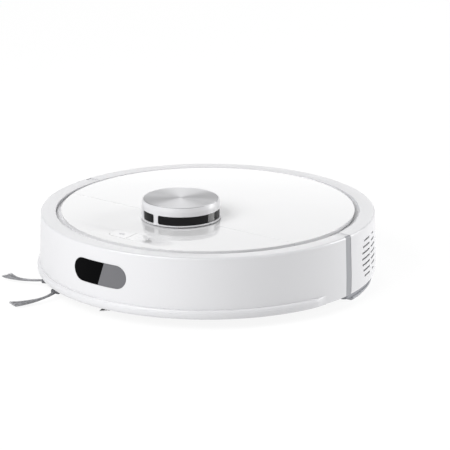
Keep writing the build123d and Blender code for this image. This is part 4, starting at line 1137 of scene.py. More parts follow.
@dataclass
class RearShell:
    """Rear wall and ring with exhaust slots, the tank's outer wall, its latch and the openings for the charging plates.
    """

    start_deg: float = 94.7
    door: tuple[float, float, float] = (112.7, 26.4, 70.0)
    slot_top_z: float = 61.0
    slot_pitch: float = 6.25
    slot_rows: int = 7
    slot_h: float = 2.0
    columns: tuple[tuple[float, float, float, float], ...] = (
        (102.6, 110.2, 0.22, 0.0), (111.6, 118.0, 0.22, 0.22))
    plates_x: tuple[float, float] = (38.0, 54.0)
    latch: tuple[float, float, float] = (15.0, 41.0, 55.0)
    slot_r: float = 174.0

    def slots(self) -> list[bpy.types.Object]:
        """Make the cutters of the exhaust slots.

        Returns:
            One cutter for each column.
        """
        tree = slot_tree()
        cutters = []
        for low, high, bow_near, bow_far in self.columns:
            mid = (low + high) / 2
            length = radians(high - low) * self.slot_r
            column = tree.mesh("slot_cutter", Count=self.slot_rows, Pitch=self.slot_pitch * MM,
                               Slot=(length * MM, 12 * MM, self.slot_h * MM),
                               Bow_near=radians(bow_near) * self.slot_r * MM,
                               Bow_far=radians(bow_far) * self.slot_r * MM)
            x, y = around(173.5, mid)
            foot = self.slot_top_z - (self.slot_rows - 1) * self.slot_pitch
            turn = Matrix.Rotation(radians(mid), 4, "Z")
            cutters.append(placed(column, Matrix.Translation((x * MM, y * MM, foot * MM)) @ turn))
        return cutters

    def wall(self, palette: Palette) -> Piece:
        """Build the rear wall with its doorway, slots and contact openings."""
        section = WallSection(foot_bevel=1.3).outline()
        shell = lathe("rear_wall", section, steps_between(self.start_deg, 360 - self.start_deg, 0.5))
        for cutter in self.slots():
            shell = carve(shell, cutter)
        half, low, high = self.door
        shell = carve(shell, box_piece("door_cutter", (-half, 60, low), (half, 190, high)))
        for side in Side:
            x0, x1 = sorted(side.value * x for x in self.plates_x)
            shell = carve(shell, box_piece("contact_cutter", (x0, 150, 14.6), (x1, 190, 24.4)))
        return Piece(palette.dress(shell, "shell_white"), "chassis", "white_shell", ("rear_shell",))

    def foam(self, palette: Palette) -> Piece:
        """Build the dark exhaust foam seen through the slots."""
        low, high = self.columns[0][0] - 1.5, self.columns[-1][1] + 1.5
        strip = lathe("exhaust_foam", rounded([(170.2, 21), (172.2, 21), (171.0, 64), (169.0, 64)], 0.5, 2),
                      steps_between(low, high, 1.0))
        return Piece(palette.dress(strip, "foam_black"), "chassis", "inner_plastic")

    def tank_wall(self, palette: Palette) -> list[Piece]:
        """Build the tank's white outer wall and its latch."""
        half, low, high = self.door
        section = rounded([(171.45, low + 0.6), (174.6, low + 0.6), (174.9, 33), (173.7, high - 0.6),
                           (171.45, high - 0.6)], [0.1, 0.5, 20.0, 0.5, 0.1], 4)
        panel = lathe("tank_wall", section, steps_between(130, 230, 0.5))
        panel = carve(panel, box_piece("side_cutter", (-half + 0.7, 60, 0), (half - 0.7, 190, 90)), keep=True)
        x, z0, z1 = self.latch
        hole = rounded([(-x - 1, z0 - 1), (x + 1, z0 - 1), (x + 1, z1 + 1), (-x - 1, z1 + 1)], 3.5, 6)
        panel = carve(panel, prism_y("latch_hole", hole, 150, 190))
        key = plate("tank_key", [rounded([(-x, -7), (x, -7), (x, 7), (-x, 7)], 3.0, 6),
                                 rounded([(-9, -2), (9, -2), (9, 2), (-9, 2)], 1.9, 6)], 166.2, 173.3, 0.5)
        outline = rounded([(-9, -2), (9, -2), (9, 2), (-9, 2)], 1.9, 6)
        dish = plate("tank_key_dish", [outline], 166.2, 172.4, 0.3)
        key = joined("tank_key", [key, dish])
        stand = Matrix.Translation((0, 0, (z0 + z1) / 2 * MM)) @ Matrix.Rotation(-pi / 2, 4, "X")
        placed(key, stand)
        return [Piece(palette.dress(panel, "shell_white"), "tank", "white_shell", ("tank_rear_panel",)),
                Piece(palette.dress(key, "frame_grey"), "tank_key", "grey_frame", ("tank_latch",))]

    def build(self, palette: Palette) -> list[Piece]:
        """Build every piece of the rear shell."""
        return [self.wall(palette), self.foam(palette), *self.tank_wall(palette)]


@dataclass
class SideSeals:
    """Soft strips between the bumper and the rear shell, which flatten as the bumper gives way."""

    from_deg: float = 91.62
    to_deg: float = 94.68
    keep: float = 0.6

    def build(self, palette: Palette) -> list[Piece]:
        """Build both strips, grey on the wall and white on the ring, squashed by the bumper."""
        whole = WallSection(inset=0.35).outline()
        split_r, low_z = 170.6, 71.0
        wall = [(r, z) for r, z in whole if r >= split_r or z < low_z]
        bridge = rounded([(158.2, 72.4), (split_r - 0.02, 72.4), (split_r - 0.02, 74.6), (158.2, 74.6)], 0.3, 3)
        back = -174.9 * cos(radians(self.to_deg))
        made = []
        for name, section, word, slot in (("wall_strips", wall, "seal_grey", "grey_seal"),
                                          ("ring_strips", bridge, "lip_white", "white_shell")):
            left = lathe("strip_left", section, steps_between(self.from_deg, self.to_deg, 0.5))
            right = lathe("strip_right", section, steps_between(-self.to_deg, -self.from_deg, 0.5))
            strips = palette.dress(joined(name, [left, right]), word)
            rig.ride(strips, "chassis")
            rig.squash(strips, "bumper_travel", axis=(0, 1, 0), anchor=(0, back * MM, 0), keep=self.keep)
            made.append(Piece(strips, "chassis", slot, ("side_seals",)))
        return made


# ---------------------------------------------------------------- top
def arc(radius: float, start: float, end: float, step: float, centre: Point = (0.0, 0.0)) -> list[Point]:
    """Points on a circle between two angles from the front.

    Args:
        radius: Radius of the circle.
        start: First angle.
        end: Last angle.
        step: Angle between points.
        centre: Middle of the circle.

    Returns:
        The points.
    """
    return [(around(radius, a)[0] + centre[0], around(radius, a)[1] + centre[1])
            for a in steps_between(start, end, step)]


@dataclass
class TopCovers:
    """The two glossy top covers and the pair of keys in front of the turret."""

    radius: float = 152.5
    top_z: float = 76.0
    turret_y: float = -45.0
    hole_r: float = 39.4
    keys_x: tuple[float, float] = (-24.0, 22.0)
    keys_y: tuple[float, float] = (-137.5, -117.0)
    split_x: tuple[float, float] = (2.4, 0.0)

    def half(self, name: str, front: bool) -> bpy.types.Object:
        """Build one half: its plate and the skirt under its round edge."""
        seam = self.turret_y + (-0.2 if front else 0.2)
        outer = crossing(seam, self.radius)
        hole = crossing(seam - self.turret_y, self.hole_r)
        centre = (0.0, self.turret_y)
        if front:
            rim = arc(self.radius, -outer, outer, 0.75)
            cut = arc(self.hole_r, hole, -hole, 2.0, centre)
            skirt = steps_between(-outer + 0.05, outer - 0.05, 1.0)
        else:
            rim = arc(self.radius, outer, 360 - outer, 0.75)
            cut = arc(self.hole_r, 360 - hole, hole, 2.0, centre)
            skirt = steps_between(outer + 0.05, 360 - outer - 0.05, 1.0)
        loops = [rim + cut]
        if front:
            x0, x1 = self.keys_x
            y0, y1 = self.keys_y
            loops.append(pill(x0 - 0.22, x1 + 0.22, (y0 + y1) / 2, y1 - y0 + 0.44))
        top = plate(name, loops, self.top_z - 2.2, self.top_z, 0.3)
        edge = lathe(name + "_skirt", [(150.4, 71.85), (152.3, 71.85), (152.3, 74.6), (150.4, 74.6)], skirt)
        return joined(name, [top, edge])

    def key(self, name: str, left: bool) -> bpy.types.Object:
        """Build one key of the split pill."""
        (x0, x1), (y0, y1) = self.keys_x, self.keys_y
        front_x, rear_x = self.split_x
        gap = 0.16
        r = (y1 - y0) / 2
        mid = (y0 + y1) / 2
        if left:
            bow = [(x1 - r + r * sin(pi * i / 24), mid - r * cos(pi * i / 24)) for i in range(25)]
            outline = [(front_x + gap, y0)] + bow + [(rear_x + gap, y1)]
        else:
            bow = [(x0 + r - r * sin(pi * i / 24), mid + r * cos(pi * i / 24)) for i in range(25)]
            outline = [(rear_x - gap, y1)] + bow + [(front_x - gap, y0)]
        return plate(name, [outline], 73.4, self.top_z + 0.2, 0.3)

    def power_sign(self) -> bpy.types.Object:
        """Build the printed power sign: an open ring and a bar."""
        outer = arc(3.3, 215, 505, 8.0)
        inner = arc(2.8, 505, 215, 8.0)
        ring = plate("power_ring", [outer + inner], 0, 0.05, 0.01)
        bar = plate("power_bar", [[(-0.25, 0.4), (0.25, 0.4), (0.25, 3.6), (-0.25, 3.6)]], 0, 0.05, 0.01)
        return joined("power_sign", [ring, bar])

    def dock_sign(self) -> bpy.types.Object:
        """Build the printed dock sign: a small house outline."""
        outer = [(-2.6, -2.6), (2.6, -2.6), (2.6, 0.6), (3.6, 0.6), (0, 3.9), (-3.6, 0.6), (-2.6, 0.6)]
        inner = [(-2.1, -2.1), (-2.1, 0.9), (-2.5, 0.9), (0, 3.2), (2.5, 0.9), (2.1, 0.9), (2.1, -2.1)]
        return plate("dock_sign", [outer, inner], 0, 0.05, 0.01)

    def build(self, palette: Palette) -> list[Piece]:
        """Build both covers, both keys and their signs."""
        front = palette.dress(self.half("cover_front", True), "gloss_white")
        rear = palette.dress(self.half("cover_rear", False), "gloss_white")
        pieces = [Piece(front, "chassis", "white_gloss", ("top_cover_front",)),
                  Piece(rear, "chassis", "white_gloss", ("top_cover_rear",))]
        mid_y = sum(self.keys_y) / 2
        for name, left, sign, node, body in (("key_power", False, self.power_sign, "power_button", "power_key"),
                                             ("key_dock", True, self.dock_sign, "dock_button", "dock_key")):
            cap = palette.dress(self.key(name, left), "gloss_white")
            mark = palette.dress(sign(), "ink_grey")
            x = 12.0 if left else -11.0
            turn = Matrix.Rotation(pi, 4, "Z")
            placed(mark, Matrix.Translation((x * MM, mid_y * MM, (self.top_z + 0.19) * MM)) @ turn)
            pieces.append(Piece(cap, body, "button_white", (node,)))
            pieces.append(Piece(mark, body, "grey_frame"))
        return pieces


def crossing(y: float, radius: float) -> float:
    """Angle from the front, on the left, where a circle crosses a line of constant y."""
    return degrees(acos(-y / radius))


# ---------------------------------------------------------------- turret
@dataclass
class Turret:
    """Raised scanner cover: flange, dark band between pillars, cap and spun disc."""

    y: float = -45.0
    flange_r: float = 41.3
    band: tuple[float, float] = (78.6, 88.0)
    cap_r: float = 40.4
    cap_top_r: float = 39.2
    disc_r: float = 38.4
    top_z: float = 97.2
    pillars: tuple[Point, ...] = ((-1.0, 3.9), (-43.0, 11.0), (126.0, 8.0), (240.0, 4.0))
    corner: float = 1.6

    def opening(self, angle: float) -> float:
        """How far the white frame reaches into the band at an angle, from 0 to half its height."""
        half = (self.band[1] - self.band[0]) / 2
        along = radians(min(abs((angle - p + 180) % 360 - 180) - span for p, span in self.pillars)) * self.cap_r
        if along <= 1e-6:
            return half
        if along >= self.corner:
            return 0.0
        return self.corner - sqrt(self.corner ** 2 - (self.corner - along) ** 2)

    def band_angles(self) -> list[float]:
        """Angles with close steps where the corners bend."""
        close = [0.03 + 4.4 * (i / 12) ** 2 for i in range(13)]
        angles = {(p + side * (span + step)) % 360
                  for p, span in self.pillars for step in close for side in (-1, 1)}
        angles |= {(p + side * span) % 360 for p, span in self.pillars for side in (-1, 0, 1)}
        angles |= {a % 360 for a in full_turn(2.0)
                   if all(abs(abs((a - p + 180) % 360 - 180) - span - 2.2) > 2.4 for p, span in self.pillars)}
        return sorted(angles)

    def frame(self) -> bpy.types.Object:
        """Build the cap's frame round the band: one strip above it, one below."""
        low, high = self.band
        angles = self.band_angles()
        inner, outer = self.cap_r - 1.4, self.cap_r
        parts = []
        centre = (0.0, self.y)

        def lower(angle: float) -> list[Point]:
            """Section of the sill under the band."""
            top = low + self.opening(angle)
            return [(inner, low - 0.2), (outer, low - 0.2), (outer, top + 0.02), (inner, top + 0.02)]

        def upper(angle: float) -> list[Point]:
            """Section of the part over the band."""
            foot = high - self.opening(angle)
            return [(inner, foot - 0.02), (outer, foot - 0.02), (outer, high + 0.2), (inner, high + 0.2)]

        for label, shape in (("frame_low", lower), ("frame_high", upper)):
            parts.append(lathe(label, shape, angles, centre, True))
        return joined("cap_frame", parts)

    def cap(self, palette: Palette) -> Piece:
        """Build the white cap: flange, frame and roof ring."""
        centre = (0.0, self.y)
        low, high = self.band
        flange = rounded([(37.2, 77.4), (self.flange_r, 77.4), (self.flange_r, low), (37.2, low)],
                         [0.1, 0.45, 0.45, 0.1], 5)
        roof = rounded([(37.6, high), (self.cap_r, high), (self.cap_r, 92.6), (self.cap_top_r, self.top_z - 0.35),
                        (self.disc_r + 0.12, self.top_z - 0.35), (self.disc_r + 0.12, 95.4), (37.6, 95.4)],
                       [0.1, 0.1, 9.0, 0.5, 0.25, 0.05, 0.05], 8)
        parts = [lathe("flange", flange, full_turn(1.5), centre, True),
                 lathe("roof", roof, full_turn(1.5), centre, True), self.frame()]
        cap = palette.dress(joined("turret_shell", parts), "shell_white")
        return Piece(cap, "turret_top", "white_shell", ("turret_cap",))

    def panes(self, palette: Palette) -> Piece:
        """Build the dark band behind the frame."""
        low, high = self.band
        section = rounded([(37.7, low + 0.02), (39.75, low + 0.02), (39.75, high - 0.02), (37.7, high - 0.02)],
                          0.1, 2)
        band = lathe("dark_band", section, full_turn(1.5), (0.0, self.y), True)
        return Piece(palette.dress(band, "pane_black"), "turret_top", "black_gloss", ("turret_window",))

    def disc(self, palette: Palette) -> Piece:
        """Build the spun disc, which is very slightly domed."""
        face = [(self.disc_r * (1 - i / 12), self.top_z + 0.25 * (1 - (1 - i / 12) ** 2)) for i in range(12)]
        section = [(0.3, self.top_z - 1.5), (self.disc_r, self.top_z - 1.5), (self.disc_r, self.top_z - 0.25),
                   (self.disc_r - 0.08, self.top_z - 0.08)] + face[1:] + [(0.3, self.top_z + 0.25)]
        disc = lathe("spun_disc", section, full_turn(2.0), (0.0, self.y), True)
        low, high = self.top_z - 1.4, self.top_z + 0.24
        hub = lathe("disc_middle", [(0.0001, low), (0.6, low), (0.6, high), (0.0001, high)], full_turn(30.0),
                    (0.0, self.y), True)
        disc = joined("spun_disc", [disc, hub])
        return Piece(palette.dress(disc, "disc"), "turret_top", "spun_aluminium", ("turret_disc",))

    def collar(self, palette: Palette) -> Piece:
        """Build the low fixed collar under the flange."""
        section = rounded([(36.6, 71.8), (39.0, 71.8), (39.0, 76.1), (36.6, 76.1)], [0.1, 0.1, 0.3, 0.3], 4)
        collar = lathe("turret_collar", section, full_turn(2.0), (0.0, self.y), True)
        return Piece(palette.dress(collar, "shell_white"), "chassis", "white_shell", ("turret_base",))

    def build(self, palette: Palette) -> list[Piece]:
        """Build every piece of the turret."""
        return [self.cap(palette), self.panes(palette), self.disc(palette), self.collar(palette)]


# ---------------------------------------------------------------- brushes
@dataclass
class SideBrush:
    """Five-armed side brush: rubber arms, blocks and curved tufts."""

    x: float = -82.0
    y: float = -117.0
    arms: int = 5
    first_deg: float = 201.0
    block_r: float = 32.0
    tip_r: float = 85.0

    def turns(self) -> list[float]:
        """Directions of the arms from +X."""
        return [self.first_deg + 360 / self.arms * arm for arm in range(self.arms)]

    def out_there(self, piece: bpy.types.Object, turn: float, radius: float, z: float) -> bpy.types.Object:
        """Move a piece drawn about its own origin to a radius on one arm."""
        stand = Matrix.Translation((self.x * MM, self.y * MM, 0)) @ Matrix.Rotation(radians(turn), 4, "Z")
        return placed(piece, stand @ Matrix.Translation((radius * MM, 0, z * MM)))

    def rubber(self, palette: Palette) -> Piece:
        """Build the arms with their blocks."""
        parts = []
        for turn in self.turns():
            web = rounded([(-20.5, -4.4), (-13, -2.7), (-5, -2.4), (-3.5, -4.2), (-2.4, -5.1), (4, -5.1), (4, 5.1),
                           (-2.4, 5.1), (-3.5, 4.2), (-5, 2.4), (-13, 2.7), (-20.5, 4.4)],
                          [0.4, 4, 1.5, 0.8, 0.9, 1.4, 1.4, 0.9, 0.8, 1.5, 4, 0.4], 4)
            parts.append(self.out_there(plate("arm", [web], 5.2, 8.7, 0.6), turn, self.block_r, 0))
        arms = joined("brush_arms", parts)
        return Piece(palette.dress(arms, "arm_rubber"), "side_brush", "arm_rubber", ("side_brush_arms",))

    def tufts(self, palette: Palette) -> Piece:
        """Build the tufts with the bristle tree."""
        tree = bristle_tree()
        made = []
        for number, turn in enumerate(self.turns()):
            tuft = tree.mesh("tuft", Count=110, Row=1.6 * MM, Reach=(self.tip_r - self.block_r - 5.5) * MM,
                             Sweep=19 * MM, Drop=4.0 * MM, Thickness=0.15 * MM, Spread=0.012, Fan=14 * MM,
                             Seed=11 + number)
            made.append(self.out_there(tuft, turn, self.block_r + 3.4, 7.0))
        bristles = joined("brush_tufts", made)
        return Piece(palette.dress(bristles, "nylon"), "side_brush", "bristle", ("side_brush_bristles",))

    def hub(self, palette: Palette) -> Piece:
        """Build the hub with its sunk screw."""
        section = rounded([(2.4, 6.4), (3.6, 4.7), (6.5, 4.7), (13.0, 6.9), (13.0, 10.3), (2.4, 10.3)],
                          [0.2, 0.5, 1.2, 1.2, 0.5, 0.1], 4)
        hub = lathe("brush_hub", section, full_turn(6.0), (self.x, self.y), True)
        head = lathe("hub_screw", rounded([(0.01, 5.4), (2.5, 5.4), (2.5, 7.4), (0.01, 7.4)], [0, 0.5, 0, 0], 3),
                     full_turn(12.0), (self.x, self.y), True)
        return Piece(palette.dress(joined("brush_hub", [hub, head]), "base_grey"), "side_brush", "base_plastic",
                     ("side_brush_hub",))

    def build(self, palette: Palette) -> list[Piece]:
        """Build every piece of the side brush."""
        return [self.hub(palette), self.rubber(palette), self.tufts(palette)]


@dataclass
class MainBrush:
    """Roller with six rubber fins wound in a shallow V."""

    y: float = -22.0
    z: float = 22.5
    root_r: float = 10.4
    tip_r: float = 21.0
    half: float = 74.6
    twist_deg: float = 26.0
    fins: int = 6

    def fin_section(self) -> list[Point]:
        """(radius, sideways) outline of a fin: thick foot, curled round tip."""
        mid = []
        for i in range(7):
            t = i / 6
            mid.append((self.root_r + (self.tip_r - 0.55 - self.root_r) * t, 1.1 * t * t, 1.5 - 0.95 * t ** 0.6))
        up = [(r, s + w) for r, s, w in mid]
        down = [(r, s - w) for r, s, w in reversed(mid)]
        r, s, w = mid[-1]
        tip = [(r + w * sin(pi * k / 6), s + w * cos(pi * k / 6)) for k in range(1, 6)]
        return up + tip + down

    def build(self, palette: Palette) -> list[Piece]:
        """Build the fins and their sleeve."""
        section = self.fin_section()
        count = len(section)
        stations = steps_between(-self.half, self.half, 2.4)
        parts = []
        for fin in range(self.fins):
            verts, faces = [], []
            for x in stations:
                soft = sqrt(x * x + 16) - 4
                turn = radians(60 * fin + 90 + self.twist_deg * soft / self.half)
                for r, s in section:
                    verts.append((x, self.y + r * cos(turn) - s * sin(turn),
                                  self.z + r * sin(turn) + s * cos(turn)))
            for i in range(len(stations) - 1):
                for k in range(count):
                    n = (k + 1) % count
                    faces.append((i * count + k, i * count + n, (i + 1) * count + n, (i + 1) * count + k))
            faces.append(tuple(range(count)))
            faces.append(tuple(range((len(stations) - 1) * count, len(stations) * count)))
            parts.append(make_object("fin", verts, faces, 50))
        sleeve = lathe("sleeve", rounded([(9.2, -self.half), (10.9, -self.half), (10.9, self.half),
                                          (9.2, self.half)], 0.5, 3), full_turn(10.0), (0, 0), True)
        lie = Matrix.Translation((0, self.y * MM, self.z * MM)) @ Matrix.Rotation(pi / 2, 4, "Y")
        parts.append(placed(sleeve, lie))
        fins = palette.dress(joined("roller_fins", parts), "fin_rubber")
        return [Piece(fins, "main_brush", "fin_rubber", ("brush_fins",))]


# ---------------------------------------------------------------- wheels
@dataclass
class DriveWheels:
    """Ribbed rubber tyres of both drive wheels."""

    x: float = 122.0
    radius: float = 34.0
    width: float = 17.0
    lugs: int = 24

    def tyre(self, side: Side) -> bpy.types.Object:
        """Build one tyre: a rounded band and its lugs."""
        half, rim, band = self.width / 2, self.radius - 5.45, self.radius - 1.9
        section = rounded([(rim, -half), (band, -half), (band, half), (rim, half)], [0.4, 1.6, 1.6, 0.4], 4)
        tread = lathe("tread", section, full_turn(4.0), (0, 0), True)
        placed(tread, Matrix.Rotation(pi / 2, 4, "Y"))
        lug = plate("lug", [rounded([(-7.9, -2.0), (0, -3.3), (7.9, -2.0), (7.9, 1.6), (0, 0.3), (-7.9, 1.6)],
                                    [0.7, 2.0, 0.7, 0.7, 2.0, 0.7], 2)], -1.6, 1.15, 0.55)
        ribs = ring_tree().mesh("lugs", Count=self.lugs, Radius=(self.radius - 1.15) * MM, Lug=lug)
        bpy.data.objects.remove(lug)
        whole = joined(f"tyre_{side.word}", [tread, ribs])
        return placed(whole, Matrix.Translation((side.value * self.x * MM, 0, self.radius * MM)))

    def build(self, palette: Palette) -> list[Piece]:
        """Build both tyres."""
        return [Piece(palette.dress(self.tyre(side), "tyre_rubber"), f"{side.word}_wheel", "tyre_rubber",
                      (f"wheel_tyre_{side.word}",)) for side in Side]


# ---------------------------------------------------------------- mop
@dataclass
class MopPad:
    """Damp microfibre pad under the rear half, puffed up by a short cloth run, with a bound edge."""

    radius: float = 171.0
    horn_y: float = 23.0
    horn_x: float = 137.0
    waist_y: float = 42.0
    z0: float = 0.5
    z1: float = 6.2
    binding_width: float = 3.2
    voxel: float = 1.6
    cloth_frames: int = 20

    def plan(self, inset: float) -> list[Point]:
        """Outline of the pad, drawn smaller by inset."""
        r, horn_y = self.radius - inset, self.horn_y + inset
        start = 90 + degrees(asin(horn_y / r))
        rim = arc(r, start, 360 - start, 2.0)
        inner = self.horn_x + inset
        return rounded(rim + [(-inner, horn_y), (-inner, self.waist_y + inset), (inner, self.waist_y + inset),
                              (inner, horn_y)], [5.0] + [0.0] * (len(rim) - 2) + [5.0] * 5, 4)

    def cloth(self) -> bpy.types.Object:
        """Build the pad: rounded plate, remeshed and inflated a little as cloth."""
        pad = plate("mop_cushion", [self.plan(0.8)], self.z0 + 0.9, self.z1 - 0.9, 1.6)
        remesh = pad.modifiers.new("remesh", "REMESH")
        remesh.mode = "VOXEL"
        remesh.voxel_size = self.voxel * MM
        mesh = evaluated_mesh(pad)
        bpy.data.objects.remove(pad)
        pad = finish_mesh("mop_cushion", mesh, 60)
        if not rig.quick():
            self.inflate(pad)
        low, high = self.z0 * MM, self.z1 * MM
        for vertex in pad.data.vertices:
            vertex.co.z = min(max(vertex.co.z, low), high)
            flat = Vector((vertex.co.x, vertex.co.y))
            if flat.length > self.radius * MM:
                flat *= self.radius * MM / flat.length
                vertex.co.x, vertex.co.y = flat
        return pad

    def inflate(self, pad: bpy.types.Object) -> None:
        """Run the cloth for a few frames with a small inside pressure.

        Args:
            pad: Remeshed pad, whose mesh is replaced.
        """
        scene = bpy.context.scene
        modifier = pad.modifiers.new("cloth", "CLOTH")
        settings = modifier.settings
        settings.quality = 5
        settings.mass = 0.3
        settings.tension_stiffness = 20
        settings.compression_stiffness = 20
        settings.bending_stiffness = 2.0
        settings.use_pressure = True
        settings.uniform_pressure_force = 2.0
        settings.effector_weights.gravity = 0.0
        modifier.point_cache.frame_start = 1
        modifier.point_cache.frame_end = self.cloth_frames
        for frame in range(1, self.cloth_frames + 1):
            scene.frame_set(frame)
        mesh = evaluated_mesh(pad)
        pad.modifiers.clear()
        pad.data = mesh
        scene.frame_set(1)

    def binding(self) -> bpy.types.Object:
        """Build the stitched binding round the pad's edge."""
        outlines = [self.plan(0.0), self.plan(self.binding_width)]
        return plate("binding", outlines, self.z1 - 2.6, self.z1 + 0.05, 0.8)

    def build(self, palette: Palette) -> list[Piece]:
        """Build the pad and its binding."""
        pad = palette.dress(self.cloth(), "mop")
        binding = palette.dress(self.binding(), "mop")
        pieces = [Piece(pad, "mop", "mop_cloth", ("mop_pad",)), Piece(binding, "mop", "mop_cloth")]
        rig.padded(pad, fill=0.5)
        return pieces


# ---------------------------------------------------------------- fasteners
@dataclass
class BaseScrews:
    """Pan-head screws of the base, each turned a little differently."""

    z: float = 11.2
    front_r: float = 157.5
    front_degs: tuple[float, ...] = (-80, -47, -9, 9, 47, 80)
    rear_r: float = 150.0
    rear_degs: tuple[float, ...] = (128, 180, -128)

    def head(self) -> bpy.types.Object:
        """Build one head, looking down, with a cross recess."""
        section = rounded([(0.01, 1.2), (0.01, -0.9), (2.2, -0.75), (2.9, 0.3), (2.9, 1.2)],
                          [0, 0, 0.9, 0.3, 0], 3)
        head = lathe("screw_head", section, full_turn(15.0), (0, 0), True)
        for wide, deep in ((1.7, 0.32), (0.32, 1.7)):
            head = carve(head, box_piece("cross_cutter", (-wide, -deep, -2), (wide, deep, -0.05)))
        return head

    def build(self, palette: Palette) -> list[Piece]:
        """Build all the heads at once."""
        places = [around(self.front_r, deg) for deg in self.front_degs]
        places += [around(self.rear_r, deg) for deg in self.rear_degs]
        head = self.head()
        screws = scatter_tree().mesh("base_screw_heads", places=[(x, y, self.z) for x, y in places], Screw=head)
        bpy.data.objects.remove(head)
        return [Piece(palette.dress(screws, "steel"), "chassis", "steel", ("base_screws",))]


# ---------------------------------------------------------------- pieces that keep their CAD mesh
PLAIN_NODES = {
    "base_grey": ("chassis_base", "brush_cover", "battery_cover", "caster_fork", "speaker"),
    "frame_grey": ("upper_housing",),
    "inner_black": ("brush_core", "brush_gearbox", "side_brush_gearbox", "lds_base", "lds_rotor", "fan_housing",
                    "wheel_arm_left", "wheel_arm_right", "fan_impeller"),
    "gear_white": ("brush_gear", "idler_gear", "motor_pinion", "lds_pulley"),
    "hub_grey": ("wheel_hub_left", "wheel_hub_right", "mop_bracket"),
    "caster_black": ("caster_wheel",),
    "tank_smoke": ("dust_tank", "tank_lid"),
    "wrap_blue": ("battery_pack",),
    "fleece": ("bin_filter",),
    "board": ("circuit_boards",),
    "can": ("lds_motor", "brush_motor", "fan_motor"),
    "steel": ("wheel_axle_left", "wheel_axle_right"),
    "contact": ("charging_contacts",),
    "sensor_pane": ("cliff_windows",),
    "tyre_rubber": ("lds_belt",),
}


def dress_plain_nodes(palette: Palette, nodes: dict[str, bpy.types.Object]) -> None:
    """Give every CAD mesh that stays visible its procedural material.

    Args:
        palette: The finishes.
        nodes: CAD objects by node name.
    """
    for word, names in PLAIN_NODES.items():
        for name in names:
            for slot in nodes[name].material_slots:
                slot.material = palette[word]
        LOG.info("%s on %s", word, ", ".join(names))


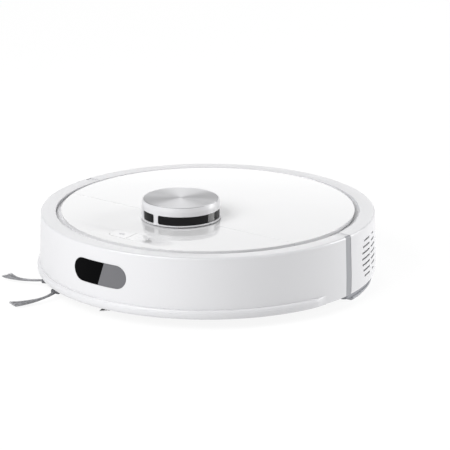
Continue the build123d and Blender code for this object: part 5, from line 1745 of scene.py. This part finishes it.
# ---------------------------------------------------------------- studio
@dataclass
class Studio:
    """Camera, soft lights and a plain pale floor that glows, so that it stays white.

    Each soft box has a name, its direction counted from the camera, its elevation, its distance in
    metres, its width and height in metres and its power in watts.
    """

    azimuth_deg: float = 38.16
    elevation_deg: float = 17.74
    distance: float = 3.396
    shift_right: float = 0.01785
    shift_up: float = 0.05466
    lens_mm: float = 259.5
    world_strength: float = 0.1
    floor_glow: float = 0.9
    floor_half_mm: float = 6000.0
    soft_boxes: tuple[tuple[str, float, float, float, tuple[float, float], float], ...] = (
        ("key_left", -45, 38, 2.6, (1.8, 1.6), 72),
        ("rim_right", 102, 15, 2.6, (1.3, 1.1), 56),
        ("top_fill", 0, 78, 2.6, (2.0, 2.0), 6),
        ("back_panel", 180, 24, 4.2, (4.8, 3.2), 66))

    def camera(self) -> None:
        """Set the camera on its sight line."""
        az, el = radians(self.azimuth_deg), radians(self.elevation_deg)
        place = Vector((sin(az) * cos(el), -cos(az) * cos(el), sin(el))) * self.distance
        right = Vector((cos(az), sin(az), 0))
        up = right.cross(-place.normalized())
        target = right * self.shift_right + up * self.shift_up
        data = bpy.data.cameras.new("product_camera")
        data.lens = self.lens_mm
        data.sensor_width = 36.0
        data.clip_start, data.clip_end = 0.1, 60.0
        camera = bpy.data.objects.new("product_camera", data)
        camera.location = place
        camera.rotation_euler = (target - place).to_track_quat("-Z", "Y").to_euler()
        bpy.context.scene.collection.objects.link(camera)
        bpy.context.scene.camera = camera

    def soft_box(self, name: str, turn_deg: float, height_deg: float, distance: float,
                 size: tuple[float, float], power: float) -> None:
        """Hang one rectangular soft box that looks at the middle of the model.

        Args:
            name: Name of the light.
            turn_deg: Direction of the light round the model, counted from the camera.
            height_deg: Elevation of the light.
            distance: Metres from the model.
            size: Width and height in metres.
            power: Watts.
        """
        light = bpy.data.lights.new(name, "AREA")
        light.shape = "RECTANGLE"
        light.size, light.size_y = size
        light.energy = power
        lamp = bpy.data.objects.new(name, light)
        turn, height = radians(self.azimuth_deg + turn_deg), radians(height_deg)
        place = Vector((sin(turn) * cos(height), -cos(turn) * cos(height), sin(height))) * distance
        lamp.location = place
        lamp.rotation_euler = (Vector((0, 0, 0.05)) - place).to_track_quat("-Z", "Y").to_euler()
        bpy.context.scene.collection.objects.link(lamp)

    def world(self) -> None:
        """Set an even white world."""
        world = bpy.data.worlds.new("white_room")
        world.use_nodes = True
        tree = world.node_tree
        tree.nodes.clear()
        light = add(tree, "ShaderNodeBackground", {"Color": (1, 1, 1, 1), "Strength": self.world_strength})
        add(tree, "ShaderNodeOutputWorld", {"Surface": light.outputs[0]})
        bpy.context.scene.world = world

    def floor(self) -> None:
        """Lay the pale floor."""
        material, _, shader = new_material("backlit_acrylic_matt", Base_Color=(0.12, 0.12, 0.12, 1),
                                           Roughness=1.0, Specular_IOR_Level=0.0)
        shader.inputs["Emission Color"].default_value = (1, 1, 1, 1)
        shader.inputs["Emission Strength"].default_value = self.floor_glow
        size = self.floor_half_mm
        corners = [(-size, -size, 0), (size, -size, 0), (size, size, 0), (-size, size, 0)]
        sheet = make_object("studio_floor", corners, [(0, 1, 2, 3)])
        sheet.data.materials.append(material)
        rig.stage(sheet)

    def build(self) -> None:
        """Set up the whole studio."""
        self.camera()
        self.world()
        self.floor()
        for box in self.soft_boxes:
            self.soft_box(*box)
        bpy.context.scene.view_settings.view_transform = "Standard"


def write_size(where: str, bounds: object) -> None:
    """Args:
        where: Word for the moment of measuring.
        bounds: Lowest and highest corner, in metres.
    """
    try:
        with open(SIZE_FILE) as old:
            sizes = json.load(old)
    except (OSError, ValueError):
        sizes = {}
    sizes[where] = [[float(v) for v in corner] for corner in bounds]
    with open(SIZE_FILE, "w") as new:
        json.dump(sizes, new)


def main() -> None:
    """Build every piece round the frame."""
    logging.basicConfig(level=logging.INFO, format="%(message)s")
    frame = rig.load()
    write_size("frame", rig.bounds())
    palette = Palette((0.0, -45.0 * MM))
    makers = (FrontBumper(), RearShell(), SideSeals(), TopCovers(), Turret(), SideBrush(), MainBrush(),
              DriveWheels(), MopPad(), BaseScrews())
    for maker in makers:
        for piece in maker.build(palette):
            piece.install()
    dress_plain_nodes(palette, frame["nodes"])
    Studio().build()
    write_size("scene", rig.bounds())


if __name__ == "__main__":
    main()
